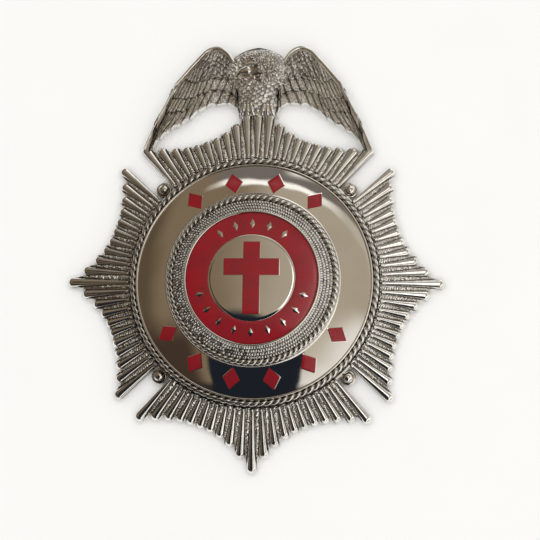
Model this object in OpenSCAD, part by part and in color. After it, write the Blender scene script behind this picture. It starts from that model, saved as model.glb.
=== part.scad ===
// Eagle star badge with a domed panel, a sunburst of rays and an enamelled seal.
// It lies on its back: +Z is the face, +Y points to the eagle's head.
// The origin is under the middle of the badge's box, on the plane of its flat back.
// Lengths are millimetres and angles are degrees.

/* [Sunburst] */
// Rays in each of the four fans, an odd number so that one ray points straight out
fan_rays = 21; // [11:2:25]
// Clear angle between the end rays of two neighbouring fans
fan_gap = 10; // [8:0.5:14]
// Gap between the rope round the panel and the inner ends of the rays
root_gap = 0.575; // [0.4:0.025:1]
// Length of the middle ray of a fan
mid_ray_l = 11; // [9:0.1:15]
// Length of the end rays of a fan
end_ray_l = 9.4; // [8:0.1:13]
// Length of the shortest rays of a fan
short_ray_l = 4.8; // [3.8:0.1:6]
// Width of a ray at its inner end
ray_root_w = 0.9; // [0.6:0.05:1.1]
// Width of a ray at its outer end
ray_tip_w = 1.7; // [1.2:0.05:1.9]
// Width of the groove between a ray and the rib beside it
rib_gap = 0.1; // [0.04:0.01:0.15]
// Rise of the ribs over the star plate
rib_rise = 0.2; // [0.1:0.01:0.3]
// Thickness of the star plate at the inner ends of the rays
plate_root_t = 1.9; // [1.4:0.05:2.2]
// Thickness of the star plate at the radius of the middle ray's end
plate_tip_t = 1.2; // [0.8:0.05:1.6]
// Radius of the round stud in each notch between two fans
stud_r = 1.1; // [0.7:0.05:1.4]
// Distance from the rays' inner ends out to the middle of a stud
stud_out = 1.0; // [0.6:0.05:1.6]

/* [Panel] */
// Radius of the sphere that the panel's face is part of
dome_sphere_r = 54; // [46:0.5:70]
// Height of the panel's face above the back at the inner ends of the rays
dome_edge_h = 2.7; // [2.4:0.05:3.4]
// Thickness of the panel's wall
wall_t = 1.5; // [1:0.05:1.8]
// Width of the solid rim round the hollow behind the panel
skirt_w = 2.4; // [2:0.1:4]
// Thickness of the rope next to the rays
rope_w = 0.95; // [0.6:0.05:1.1]
// Gap between that rope and the plain ring inside it
ring_gap = 0.125; // [0.05:0.025:0.3]
// Thickness of the plain ring
ring_w = 0.5; // [0.3:0.05:0.7]
// Width of the plain band of the panel's face, between the plain ring and the inner rope
face_band_w = 5.475; // [4.5:0.025:7]
// Thickness of the inner rope
inner_rope_w = 0.95; // [0.6:0.05:1.1]
// Width of the beaded band between the seal and the inner rope
bead_band_w = 1.925; // [1.2:0.025:3]
// Height of the beaded band
bead_band_h = 0.45; // [0.2:0.05:0.6]

/* [Seal] */
// Thickness of the seal at its rim
seal_edge_t = 1.15; // [0.95:0.05:1.6]
// Thickness of the seal at its middle
seal_mid_t = 0.62; // [0.5:0.02:1]
// Thickness of the bright rim that stands round the seal's face
rim_w = 0.4; // [0.2:0.05:0.5]
// Outer radius of the enamel ring
enamel_outer_r = 11.4; // [10.5:0.05:12.8]
// Width of the plain metal between the enamel ring and the seal's rim
enamel_lip = 0.1; // [0.05:0.01:0.4]
// Inner radius of the enamel ring
enamel_inner_r = 7.6; // [7.2:0.05:8.5]
// Depth of the enamel
enamel_t = 0.35; // [0.2:0.01:0.45]
// Gap round every piece of enamel and under the seal
fit_gap = 0.03; // [0.02:0.01:0.06]
// Length of the cross
cross_h = 12.6; // [9:0.1:13]
// Width of the cross over its arms
cross_w = 9.6; // [6:0.1:10.5]
// Width of the cross's upright and arms
cross_bar_w = 2.9; // [1.5:0.05:3.2]
// Height of the arms' middle above the middle of the seal
cross_arm_y = 1.9; // [0:0.1:2.5]
// Length of a lozenge that stands through the enamel ring
pip_h = 1.7; // [1:0.05:2.2]
// Width of that lozenge
pip_w = 0.9; // [0.5:0.05:1.1]

/* [Panel ornament] */
// Plain metal that is left between a panel lozenge and the rings on either side of it
inlay_margin = 0.84; // [0.3:0.02:1.5]
// Width of a panel lozenge
inlay_w = 3.0; // [1.5:0.05:3.4]
// Height that a panel lozenge stands proud of the panel
inlay_proud = 0.05; // [0.02:0.01:0.2]
// Angle between two lozenges of the upper row
inlay_upper_pitch = 24.5; // [18:0.5:30]
// Angle between two lozenges of the lower row
inlay_lower_pitch = 23; // [16:0.5:26]

/* [Eagle] */
// Distance from the inner ends of the rays up to the tops of the wings
wing_top_l = 20.1; // [19:0.1:24]
// Distance that the wing tips reach out past the end rays under them
wing_tip_out = 0.25; // [0:0.05:0.4]
// Drop of the wing tips below the ends of those rays
wing_tip_drop = 1.25; // [1:0.05:1.6]
// Thickness of the wing plates
wing_t = 1.7; // [1.2:0.05:2.2]
// Rise of the wing's thickest feathers, under its front edge, over its plate
feather_rise = 1.1; // [0.6:0.05:1.4]
// Width of the smooth bar along the front edge of a wing
wing_edge_w = 0.75; // [0.4:0.05:1]
// Long feathers in a wing
long_feathers = 12; // [8:1:16]
// Height of the breast above the back
breast_top_h = 3.9; // [3.3:0.05:4.4]
// Height of the head above the back
head_top_h = 4.4; // [3.6:0.05:4.8]
// Radius of the head
head_r = 3.1; // [2.4:0.05:3.2]
// Drop of the head's crown below the tops of the wings
head_drop = 0.4; // [0.2:0.05:1]
// Distance of the head from the middle of the badge, away from its beak
head_turn = 0.5; // [0:0.05:1]
// Radius of the round top of the neck ruff behind the head
ruff_r = 6.8; // [6:0.1:7.5]
// Drop of the ruff's top below the tops of the wings
ruff_drop = 0.3; // [0:0.1:1]
// Width of the neck of metal between the claws and the rays
neck_w = 6.8; // [5.5:0.1:7.2]
// Length of the rays under the claws
crest_ray_l = 8.4; // [7.6:0.1:9]

/* [Pin] */
// Length of the pin between its hinge and its catch
pin_l = 26; // [20:0.5:28]
// Thickness of the pin's wire
pin_w = 1.2; // [0.8:0.05:1.4]
// Height of the wire's middle above the back
pin_z = 0.9; // [0.75:0.05:1.2]
// Gap between the panel and the blocks of the hinge and the catch
clasp_gap = 0.15; // [0.15:0.01:0.3]
// Width of the hinge's and the catch's blocks
clasp_w = 4; // [2.5:0.1:5]
// Length of the hinge's and the catch's blocks
clasp_l = 3; // [2:0.1:4]

/* [Hidden] */

$fn = 96;
metal = "silver";
enamel = "firebrick";
fan_turn = 90;                              // angle from one fan to the next
bar_top_share = 0.55;                       // width of a raised bar's top as a share of its foot's
fan_half = (fan_rays - 1) / 2;
ray_pitch = (fan_turn - fan_gap) / (fan_rays - 1);
ray_curve = 2.4;                            // how sharply a fan's end and middle rays stand out

// Shares of a ray's width
ray_flat = 0.22;                            // half of its flat top
ray_rise = 0.5;                             // rise of that top over the star plate
ray_foot = 0.05;                            // rise of its sides over the star plate
side_short = 0.35;                          // how far its sides stop short of its end
top_fall = 0.45;                            // length over which its end falls away
side_fall = 0.2;                            // length over which the ends of its sides fall away
rib_fall = 0.1;                             // length over which the end of the rib beside it falls away
end_foot = 0.8;                             // height of these ends' feet as a share of the plate's

// Radii of the rings, each carried by the one inside it
seal_r = enamel_outer_r + enamel_lip + rim_w;
inner_rope_r = seal_r + bead_band_w + inner_rope_w / 2;
face_band_r = inner_rope_r + inner_rope_w / 2;
ring_r = face_band_r + face_band_w + ring_w / 2;
rope_r = ring_r + ring_w / 2 + ring_gap + rope_w / 2;
root_r = rope_r + rope_w / 2 + root_gap;
hollow_r = root_r - skirt_w;
stud_circle_r = root_r + stud_out;

// Radii that the rays and the wings reach
mid_ray_r = root_r + mid_ray_l;
end_ray_r = root_r + end_ray_l;
short_ray_r = root_r + short_ray_l;
crest_ray_r = root_r + crest_ray_l;
wing_top_r = root_r + wing_top_l;
sun_y = (mid_ray_r - wing_top_r) / 2;       // puts the middle of the badge's box at y = 0

// The panel's lozenges fill the plain band but for a margin
inlay_circle_r = face_band_r + face_band_w / 2;
inlay_h = face_band_w - inlay_margin * 2;

// The wing tips lie on the end rays of the fan under the eagle
wing_tip_r = end_ray_r + wing_tip_out;
wing_tip_a = (fan_turn - fan_gap) / 2;
wing_span = wing_tip_r * sin(wing_tip_a) * 2;
wing_h = wing_top_r - wing_tip_r * cos(wing_tip_a) + wing_tip_drop;

// Height of the panel's face at a radius
dome_z0 = dome_edge_h - sqrt(pow(dome_sphere_r, 2) - pow(root_r, 2));
function dome_z(r) = dome_z0 + sqrt(pow(dome_sphere_r, 2) - r * r);

// Sphere of the seal's face, through its rim and its middle
seal_crown = dome_z(0) - dome_z(seal_r) + seal_mid_t - seal_edge_t;
seal_sphere_r = (seal_r * seal_r + seal_crown * seal_crown) / (2 * seal_crown);
seal_z0 = dome_z(seal_r) + seal_edge_t + seal_crown - seal_sphere_r;

// Reach of ray k of a fan, counted from its middle ray. Fans sink to their shortest rays half way out.
function fan_reach(k) = short_ray_r
    + ((k < fan_half / 2 ? mid_ray_r : end_ray_r) - short_ray_r)
    * pow(abs(1 - 2 * k / fan_half), ray_curve);
// The middle rays under the eagle stop at its claws
function ray_reach(fan, k) = fan == 0 && k < fan_half / 2 ? min(fan_reach(k), crest_ray_r) : fan_reach(k);
// Reach of the rib between ray i and ray i + 1 of a fan, with i from -fan_half
function rib_reach(fan, i) =
    fan == 0 && max(abs(i), abs(i + 1)) == 2 ? crest_ray_r - ray_tip_w / 2
    : min(ray_reach(fan, abs(i)), ray_reach(fan, abs(i + 1))) - ray_root_w / 2;

// Height of the star plate's face at a radius
function plate_z(r) = plate_root_t
    + (plate_tip_t - plate_root_t) * (r - root_r) / (mid_ray_r - root_r);

// Puts a piece drawn round the middle of the sunburst in its place
module at_sun() {
    translate([0, sun_y, 0]) children();
}

// Width of a ray at a radius
function ray_w(r) = ray_root_w + (ray_tip_w - ray_root_w) * (r - root_r) / (mid_ray_r - root_r);

// A raised bar between two points of a plane. It stands on height z0 with round ends of radius rp and
// rq, and narrows towards its top at z1.
module raised_bar(p, q, rp, rq, z0, z1) {
    hull()
        for (end = [[p, rp], [q, rq]])
            translate([end[0][0], end[0][1], z0])
                cylinder(r1 = end[1], r2 = end[1] * bar_top_share, h = z1 - z0, $fn = 8);
}

// A fan is a folded sheet on a flat back. Its folds are columns that run outwards from the panel:
// [angle, side as a share of the ray's width, further side, rise as a share of that width,
//  further rise, reach, share of the width over which the end falls away]
function ray_columns(a, reach) =
    let (side_reach = reach - side_short * ray_w(reach))
    [
        [a, -1 / 2, 0, ray_foot, 0, side_reach, side_fall],
        [a, -ray_flat, 0, ray_rise, 0, reach, top_fall],
        [a, ray_flat, 0, ray_rise, 0, reach, top_fall],
        [a, 1 / 2, 0, ray_foot, 0, side_reach, side_fall]
    ];
function rib_columns(a, reach) = [
    [a, 1 / 2, rib_gap, 0, rib_rise, reach, rib_fall],
    [a + ray_pitch, -1 / 2, -rib_gap, 0, rib_rise, reach, rib_fall]
];
function fan_columns(fan) = [
    for (i = [-fan_half:fan_half])
        each concat(
            ray_columns(fan_turn * fan + ray_pitch * i, ray_reach(fan, abs(i))),
            i < fan_half ? rib_columns(fan_turn * fan + ray_pitch * i, rib_reach(fan, i)) : []
        )
];

// Point of a column at radius r and height z
function column_point(c, r, z) =
    let (side = c[1] * ray_w(r) + c[2])
    [r * sin(c[0]) + side * cos(c[0]), r * cos(c[0]) - side * sin(c[0]), z];
function column_z(c, r) = plate_z(r) + c[3] * ray_w(r) + c[4];
// Five points of a column: root, shoulder and end on the face, then end and root on the back
function column_points(c) =
    let (r0 = root_r - wall_t / 2, r1 = c[5] - c[6] * ray_w(c[5]))
    [
        column_point(c, r0, column_z(c, r0)),
        column_point(c, r1, column_z(c, r1)),
        column_point(c, c[5], plate_z(c[5]) * end_foot),
        column_point(c, c[5], 0),
        column_point(c, r0, 0)
    ];

module fan(k) {
    columns = fan_columns(k);
    n = len(columns);
    polyhedron(
        points = [for (c = columns) each column_points(c)],
        faces = concat(
            [
                for (c = [0:n - 2])
                    let (a = 5 * c, b = a + 5)
                    each [
                        for (s = [0:4])
                            let (t = (s + 1) % 5)
                            each [[a + s, a + t, b + t], [a + s, b + t, b + s]]
                    ]
            ],
            [[1, 0, 4, 3, 2], [for (s = [0:4]) 5 * (n - 1) + s]]
        )
    );
}

module stud() {
    translate([stud_circle_r, 0, 0])
        hull() {
            cylinder(r = stud_r * 0.9, h = plate_root_t / 2, $fn = 12);
            translate([0, 0, plate_root_t - stud_r / 4]) sphere(stud_r, $fn = 12);
        }
}

module sunburst() {
    for (k = [0:3]) {
        fan(k);
        rotate([0, 0, fan_turn * (k + 0.5)]) stud();
    }
}

// A rope laid on the panel, as a round ring half sunk into it
module rope(r, w) {
    rotate_extrude($fn = 60)
        translate([r, dome_z(r)]) circle(w / 2, $fn = 6);
}

// A roof-shaped ridge between two points of a plane at height z, sunk a little into what is under it
module ridge(p, q, w, z, rise) {
    d = (q - p) / norm(q - p);
    side = [-d[1], d[0]] * w / 2;
    low = z - rise / 2;
    polyhedron(
        points = [
            for (c = [p + side, q + side, q - side, p - side]) [c[0], c[1], low],
            for (c = [p + d * w / 2, q - d * w / 2]) [c[0], c[1], z + rise]
        ],
        faces = [[3, 2, 1, 0], [0, 1, 5, 4], [2, 3, 4, 5], [1, 2, 5], [3, 0, 4]]
    );
}

// Points of an arc of the dome at a depth under its face, from one radius to another
function dome_arc(depth, r_from, r_to, steps) = [
    for (i = [0:steps])
        let (r = r_from + (r_to - r_from) * i / steps)
        [r, dome_z0 + sqrt(pow(dome_sphere_r - depth, 2) - r * r)]
];

module panel() {
    seat_r = seal_r + fit_gap;
    band_r = inner_rope_r - inner_rope_w / 3;
    difference() {
        rotate_extrude($fn = 60)
            polygon(concat(
                [[hollow_r, 0], [root_r, 0]],
                dome_arc(0, root_r, ring_r + ring_w / 2, 1),
                [[ring_r, dome_z(ring_r) + ring_w / 2]],
                dome_arc(0, ring_r - ring_w / 2, band_r, 2),
                [[band_r, dome_z(band_r) + bead_band_h], [seat_r, dome_z(seat_r) + bead_band_h]],
                dome_arc(0, seat_r, 0, 2),
                dome_arc(wall_t, 0, hollow_r, 3)
            ));
        for (i = [1:10]) inlay(i, fit_gap);
    }
    rope(rope_r, rope_w);
    rope(inner_rope_r, inner_rope_w);
}

// Angle of each panel lozenge, clockwise from the top: four above, then six below
function inlay_angle(i) = i <= 4
    ? (i - 2.5) * inlay_upper_pitch
    : 180 + (i - 7.5) * inlay_lower_pitch;

module lozenge(w, h) {
    polygon([[h / 2, 0], [0, w / 2], [-h / 2, 0], [0, -w / 2]]);
}

// A flat lozenge let into the panel, square to the panel's face where it lies
module inlay(i, gap) {
    tilt = asin(inlay_circle_r / dome_sphere_r);
    rotate([0, 0, 90 - inlay_angle(i)])
        translate([0, 0, dome_z0])
            rotate([0, tilt, 0])
                translate([0, 0, dome_sphere_r - enamel_t - gap])
                    linear_extrude(enamel_t + gap * 2 + inlay_proud)
                        lozenge(inlay_w + gap * 2, inlay_h + gap * 2);
}

// Angles of the lozenges that stand through the enamel ring: a short row above, a longer one below
pip_angles = [for (a = [-36:18:36]) a, for (a = [108:18:252]) a];

// Upright lozenges on the middle of the enamel ring, from height z0 to z1
module pips(gap, z0, z1) {
    for (a = pip_angles)
        rotate([0, 0, 90 - a])
            translate([(enamel_inner_r + enamel_outer_r) / 2, 0, z0])
                linear_extrude(z1 - z0)
                    lozenge(pip_w + gap * 2, pip_h + gap * 2);
}

module cross_shape(gap) {
    square([cross_bar_w + gap * 2, cross_h + gap * 2], center = true);
    translate([0, cross_arm_y])
        square([cross_w + gap * 2, cross_bar_w + gap * 2], center = true);
}

// Height of the seal's face at a radius
function seal_z(r) = seal_z0 + sqrt(pow(seal_sphere_r, 2) - r * r);

// Points of the seal's face at a depth under it, from one radius to another
function seal_arc(depth, r_from, r_to, steps) = [
    for (i = [0:steps])
        let (r = r_from + (r_to - r_from) * i / steps) [r, seal_z(r) - depth]
];

pip_floor_z = seal_z(enamel_outer_r) - enamel_t - fit_gap;
pip_top_z = seal_z((enamel_inner_r + enamel_outer_r) / 2) + fit_gap;
cross_floor_z = seal_z(cross_h / 2) - enamel_t;

// The seal is one turned disc: its rim, its channel for the enamel ring and its middle
module center_seal() {
    color(metal)
        at_sun()
            difference() {
                union() {
                    rotate_extrude()
                        polygon(concat(
                            [for (p = dome_arc(-fit_gap, 0, seal_r, 6)) p],
                            [[seal_r, seal_z(seal_r) + rim_w / 2], [seal_r - rim_w, seal_z(seal_r) + rim_w / 2]],
                            [[seal_r - rim_w, seal_z(seal_r - rim_w)]],
                            seal_arc(0, enamel_outer_r + fit_gap, enamel_outer_r + fit_gap, 1),
                            seal_arc(enamel_t + fit_gap, enamel_outer_r + fit_gap, enamel_inner_r - fit_gap, 4),
                            seal_arc(0, enamel_inner_r - fit_gap, 0, 8)
                        ));
                    pips(0, pip_floor_z - fit_gap, pip_top_z);
                }
                translate([0, 0, cross_floor_z]) linear_extrude(enamel_t * 4) cross_shape(fit_gap);
            }
}

module seal_enamel_ring() {
    color(enamel)
        at_sun()
            difference() {
                rotate_extrude()
                    polygon(concat(
                        seal_arc(0, enamel_inner_r, enamel_outer_r, 4),
                        seal_arc(enamel_t, enamel_outer_r, enamel_inner_r, 4)
                    ));
                pips(fit_gap, pip_floor_z - enamel_t, pip_top_z + enamel_t);
            }
}

module seal_cross() {
    color(enamel)
        at_sun()
            intersection() {
                translate([0, 0, cross_floor_z + fit_gap]) linear_extrude(enamel_t * 3) cross_shape(0);
                rotate_extrude()
                    polygon(concat([[0, 0], [enamel_inner_r, 0]], seal_arc(0, enamel_inner_r, 0, 6)));
            }
}

module panel_inlay(i) {
    color(enamel) at_sun() inlay(i, 0);
}

// Catmull-Rom curve through a table of points: place u from 0 to 1 along the whole table
function bend(a, b, c, d, t) = b + (c - a) * t / 2
    + (a * 2 - b * 5 + c * 4 - d) * t * t / 2
    + (b * 3 - a - c * 3 + d) * t * t * t / 2;
function along(table, u) =
    let (n = len(table) - 1, k = min(floor(u * n), n - 1))
    bend(table[max(k - 1, 0)], table[k], table[k + 1], table[min(k + 2, n)], u * n - k);

// Front edge of a wing from the valley beside the head to the tip
// [share of half the span, share of the wing's height]
wing_front = [
    [0.215, 0.875], [0.27, 0.955], [0.355, 1.0], [0.451, 0.974], [0.54, 0.88],
    [0.633, 0.766], [0.723, 0.641], [0.80, 0.474], [0.893, 0.276], [0.99, 0.03]
];
// Rear edge of a wing from the neck under the claws to the tip
// [share of half the span, share of the wing's height]
wing_rear = [
    [0.165, 0.36], [0.20, 0.43], [0.30, 0.455], [0.41, 0.445], [0.50, 0.40],
    [0.58, 0.33], [0.66, 0.27], [0.76, 0.21], [0.86, 0.12], [0.93, 0.0]
];

wing_lean = 1.6;                            // how far the feathers lean outwards, as a power of the place
function wing_point(p) = [p[0] * wing_span / 2, wing_top_r - wing_h + p[1] * wing_h];
// Point of the wing: u runs from the body to the tip, v from the front edge to the rear edge.
// The feathers lean outwards, so the rear edge is reached further out than the front edge.
function on_wing(u, v) =
    wing_point(along(wing_front, u) * (1 - v) + along(wing_rear, 1 - pow(1 - u, wing_lean)) * v);

// A band of the wing between v0 and a row of n round feather ends at v1, from u0 to u1
function wing_band(v0, v1, n, u0, u1, bulge) = concat(
    [for (i = [0:n]) on_wing(u0 + (u1 - u0) * i / n, v0)],
    [for (i = [3 * n:-1:0])
        on_wing(u0 + (u1 - u0) * i / (3 * n), v1 + (i % 3 == 0 ? 0 : bulge))]
);

// Shares of a wing's length or depth
front_start = 0.01;                         // where the smooth bar along the front edge starts
bar_share = 0.4;                            // greatest width of that bar
bar_stop = 0.96;                            // where the bar and the ridges on the long feathers stop
ridge_start = 0.5;                          // where those ridges start
row_margin = 0.03;                          // length that the plate and the rows leave free at an end
feather_bulge = 0.03;                       // how far a feather's round end stands out

// Inner side of the smooth bar along a wing's front edge
function inner_edge(u) =
    let (p = on_wing(u, front_start), q = on_wing(u, 1))
    p + (q - p) * min(bar_share, wing_edge_w / max(norm(q - p), wing_edge_w));

// Rows of short feathers: [share of the wing's depth where the row ends, feathers, share of the rise]
feather_rows = [[0.24, 8, 1.0], [0.42, 9, 0.75], [0.62, 10, 0.45]];

row_inset = 0.013;                          // how far each row starts inside the one over it, as a share
front_steps = 14;                           // stretches of the bar along a wing's front edge
toe_r = wing_edge_w / 2;
toe_l = wing_edge_w * 2.2;
toe_taper = 0.7;                            // radius of a toe's end as a share of its root's
toe_fan = 2.6;                              // how many times further apart the toes' ends are
toe_spread = wing_edge_w * 0.62;            // distance between two toes where they leave the foot
toe_step = wing_edge_w * 0.14;              // drop of the outer toes under the middle one
claw_top_h = plate_root_t + wing_edge_w * 0.75;
breast_share = 0.8;                         // radius of the breast as a share of the rise from claws to head
beak_root = [-0.5, -0.3];                   // ends of the beak from the head's middle, in head radii
beak_end = [-1.15, -0.6];

module wing() {
    linear_extrude(wing_t) polygon(wing_band(0, 1 - row_margin, long_feathers, 0, 1, feather_bulge));
    for (k = [0:len(feather_rows) - 1]) {
        row = feather_rows[k];
        start = row_inset * (k + 1);
        translate([0, 0, wing_t / 2 - start])
            linear_extrude(wing_t / 2 + start + feather_rise * row[2])
                polygon(wing_band(start, row[0], row[1], row_margin + start, 1 - row_margin - start,
                                  feather_bulge));
    }
    translate([0, 0, wing_t / 2])
        linear_extrude(wing_t / 2 + feather_rise + wing_edge_w / 3)
            polygon(concat(
                [for (i = [0:front_steps]) on_wing(i / front_steps * bar_stop, front_start)],
                [for (i = [front_steps:-1:0]) inner_edge(i / front_steps * bar_stop)]
            ));
    for (i = [0:long_feathers - 1]) {
        u = (i + 0.5) / long_feathers;
        ridge(on_wing(u, ridge_start), on_wing(u, bar_stop), wing_edge_w, wing_t, wing_edge_w / 4);
    }
}

// A dome of a given radius whose top is at height h, kept above the back
module boss(r, h) {
    intersection() {
        translate([0, 0, h - r]) sphere(r, $fn = 16);
        translate([0, 0, wing_t / 3]) cylinder(r = r, h = h, $fn = 16);
    }
}

// Three spread toes that point at the rays, the middle one the highest
module claw() {
    for (k = [-1:1]) {
        top = claw_top_h - abs(k) * toe_step;
        raised_bar([k * toe_spread, 0], [k * toe_spread * toe_fan, -toe_l + abs(k) * toe_step],
                   toe_r, toe_r * toe_taper, top - claw_top_h / 2, top);
    }
}

module eagle() {
    claw_y = crest_ray_r + wing_edge_w;
    head_y = wing_top_r - head_drop - head_r;
    breast_y = (claw_y + head_y) / 2 - head_drop;
    breast_r = (head_y - claw_y) * breast_share;
    for (side = [0, 1]) mirror([side, 0, 0]) {
        wing();
        translate([wing_edge_w * 2.5, claw_y]) claw();
    }
    linear_extrude(wing_t) {
        intersection() {
            translate([0, wing_top_r - ruff_drop - ruff_r]) circle(ruff_r, $fn = 36);
            translate([-ruff_r, claw_y]) square([ruff_r * 2, wing_top_r - claw_y]);
        }
        translate([-neck_w / 2, crest_ray_r - ray_tip_w]) square([neck_w, ray_tip_w * 2.5]);
    }
    translate([0, breast_y]) boss(breast_r, breast_top_h);
    translate([head_turn, head_y]) boss(head_r, head_top_h);
    raised_bar([0, head_y] + beak_root * head_r, [0, head_y] + beak_end * head_r,
               head_r / 4, head_r / 6, wing_t / 2, head_top_h - head_r / 3);
}

module badge_shell() {
    color(metal)
        at_sun() {
            sunburst();
            panel();
            eagle();
        }
}

// The pin with its hinge and catch, drawn round the middle of the sunburst.
// The blocks reach up to the inside of the panel and the wire runs between them.
module clasp_block(y) {
    intersection() {
        translate([0, 0, dome_z0]) sphere(dome_sphere_r - wall_t - clasp_gap, $fn = 200);
        translate([-clasp_w / 2, y - clasp_l / 2, pin_z - pin_w * 0.7])
            cube([clasp_w, clasp_l, dome_sphere_r]);
    }
}

module pin_clasp() {
    color(metal)
        at_sun() {
            for (side = [-1, 1]) clasp_block(side * pin_l / 2);
            translate([0, -pin_l / 2, pin_z]) rotate([-90, 0, 0]) cylinder(r = pin_w / 2, h = pin_l);
        }
}

badge_shell();
center_seal();
seal_enamel_ring();
seal_cross();
panel_inlay(1);  // panel_inlay_1
panel_inlay(2);  // panel_inlay_2
panel_inlay(3);  // panel_inlay_3
panel_inlay(4);  // panel_inlay_4
panel_inlay(5);  // panel_inlay_5
panel_inlay(6);  // panel_inlay_6
panel_inlay(7);  // panel_inlay_7
panel_inlay(8);  // panel_inlay_8
panel_inlay(9);  // panel_inlay_9
panel_inlay(10);  // panel_inlay_10
pin_clasp();
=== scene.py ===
"""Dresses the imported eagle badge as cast, plated and enamelled metal.

Every surface is a grid of points in millimetres, worked out with whole arrays round the middle of the
sunburst, then put into a mesh in metres at the badge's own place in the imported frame. The back of each
kind of piece lies at its own height, named as its back, so that no two share a plane where they overlap.
"""

import logging
import math
from dataclasses import dataclass, field
from enum import Enum

import bpy
import numpy as np
from mathutils import Matrix, Vector
from numpy.typing import NDArray


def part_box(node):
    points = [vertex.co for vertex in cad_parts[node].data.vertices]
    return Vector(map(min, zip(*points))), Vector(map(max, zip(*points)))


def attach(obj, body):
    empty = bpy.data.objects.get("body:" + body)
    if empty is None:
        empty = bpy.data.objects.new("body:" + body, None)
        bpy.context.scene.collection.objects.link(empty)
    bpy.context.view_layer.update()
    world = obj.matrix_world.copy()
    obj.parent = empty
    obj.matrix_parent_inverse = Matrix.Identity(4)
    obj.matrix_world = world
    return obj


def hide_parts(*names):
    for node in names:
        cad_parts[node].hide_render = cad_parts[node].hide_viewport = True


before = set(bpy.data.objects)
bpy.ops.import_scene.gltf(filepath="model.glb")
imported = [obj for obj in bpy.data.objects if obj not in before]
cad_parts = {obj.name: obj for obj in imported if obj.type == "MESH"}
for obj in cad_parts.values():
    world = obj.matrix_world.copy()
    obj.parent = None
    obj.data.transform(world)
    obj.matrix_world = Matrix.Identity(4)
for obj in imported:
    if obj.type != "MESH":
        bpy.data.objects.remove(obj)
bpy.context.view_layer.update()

log = logging.getLogger("badge")
Array = NDArray[np.float64]
Colour = tuple[float, float, float]

MM = 0.001
BODY = "root"
SHARP_ANGLE = math.radians(50)
SCALE_BOW = 0.22
SCALE_ROUND = 0.45
DOME_SPHERE_R = 54.0
DOME_RIM_R = 22.4
DOME_RIM_Z = 2.7


@dataclass(frozen=True)
class Site:
    """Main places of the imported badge, in millimetres.

    The badge's pieces are drawn round the middle of the sunburst, which lies at (0, sun_y).
    """

    sun_y: float
    mid_ray_r: float
    wing_top_r: float
    seal_r: float
    seal_top: float

    @classmethod
    def read(cls) -> "Site":
        """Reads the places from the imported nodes.

        Returns:
            The site.
        """
        shell_high = np.array(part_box("badge_shell")[1]) / MM
        seal_low, seal_high = (np.array(corner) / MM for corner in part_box("center_seal"))
        sun_y = float(seal_low[1] + seal_high[1]) / 2
        return cls(
            sun_y=sun_y,
            mid_ray_r=float(shell_high[0]),
            wing_top_r=float(shell_high[1]) - sun_y,
            seal_r=float(seal_high[0] - seal_low[0]) / 2,
            seal_top=float(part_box("seal_cross")[1].z) / MM,
        )


@dataclass(frozen=True)
class Dome:
    """A spherical cap.

    Its height is z0 plus the root of the squared sphere radius less the squared distance from the axis.
    """

    sphere_r: float
    z0: float

    @classmethod
    def through(cls, sphere_r: float, radius: float, height: float) -> "Dome":
        """The dome of a sphere's radius that has a given height at a given radius."""
        return cls(sphere_r, height - math.sqrt(sphere_r**2 - radius**2))

    def z(self, radius: Array | float, depth: float = 0.0) -> Array:
        """Height of the dome, or of its parallel surface at a depth under it.

        Args:
            radius: Distance from the axis.
            depth: How far the surface lies inside the dome.

        Returns:
            The height.
        """
        return self.z0 + np.sqrt((self.sphere_r - depth) ** 2 - np.square(radius))


@dataclass
class Shape:
    """A closed surface: its points, its faces as arrays of corner numbers, and values at its points."""

    points: Array
    faces: list[NDArray[np.int64]]
    values: dict[str, Array] = field(default_factory=dict)

    def volume(self) -> float:
        """Enclosed volume, summed over the triangles that each face splits into.

        Returns:
            The volume, negative when the faces point inwards.
        """
        total = 0.0
        for group in self.faces:
            a = self.points[group[:, 0]]
            for k in range(1, group.shape[1] - 1):
                b, c = self.points[group[:, k]], self.points[group[:, k + 1]]
                total += float(np.einsum("ij,ij->i", a, np.cross(b, c)).sum()) / 6
        return total

    def outward(self) -> "Shape":
        """Turns the faces round if they point inwards.

        Returns:
            The shape itself.
        """
        if self.volume() < 0:
            self.faces = [group[:, ::-1] for group in self.faces]
        return self


def joined(shapes: list[Shape]) -> Shape:
    """One shape of several, with their values side by side.

    Args:
        shapes: The shapes, which all hold the same values.

    Returns:
        The joined shape.
    """
    starts = np.cumsum([0] + [len(shape.points) for shape in shapes])
    names = shapes[0].values.keys()
    return Shape(
        np.concatenate([shape.points for shape in shapes]),
        [group + start for shape, start in zip(shapes, starts) for group in shape.faces],
        {name: np.concatenate([shape.values[name] for shape in shapes]) for name in names},
    )


def cells(rows: int, columns: int, close_rows: bool = False,
          close_columns: bool = False) -> NDArray[np.int64]:
    """Corner numbers of the cells of a grid whose points are numbered row by row.

    Args:
        rows: Rows of points.
        columns: Points in a row.
        close_rows: Whether the last row meets the first.
        close_columns: Whether the last point of a row meets its first.

    Returns:
        Four corner numbers for each cell.
    """
    row = np.arange(rows if close_rows else rows - 1)[:, None]
    column = np.arange(columns if close_columns else columns - 1)[None, :]
    next_row, next_column = (row + 1) % rows, (column + 1) % columns
    corners = [row * columns + column, row * columns + next_column,
               next_row * columns + next_column, next_row * columns + column]
    return np.stack(corners, axis=-1).reshape(-1, 4)


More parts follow.
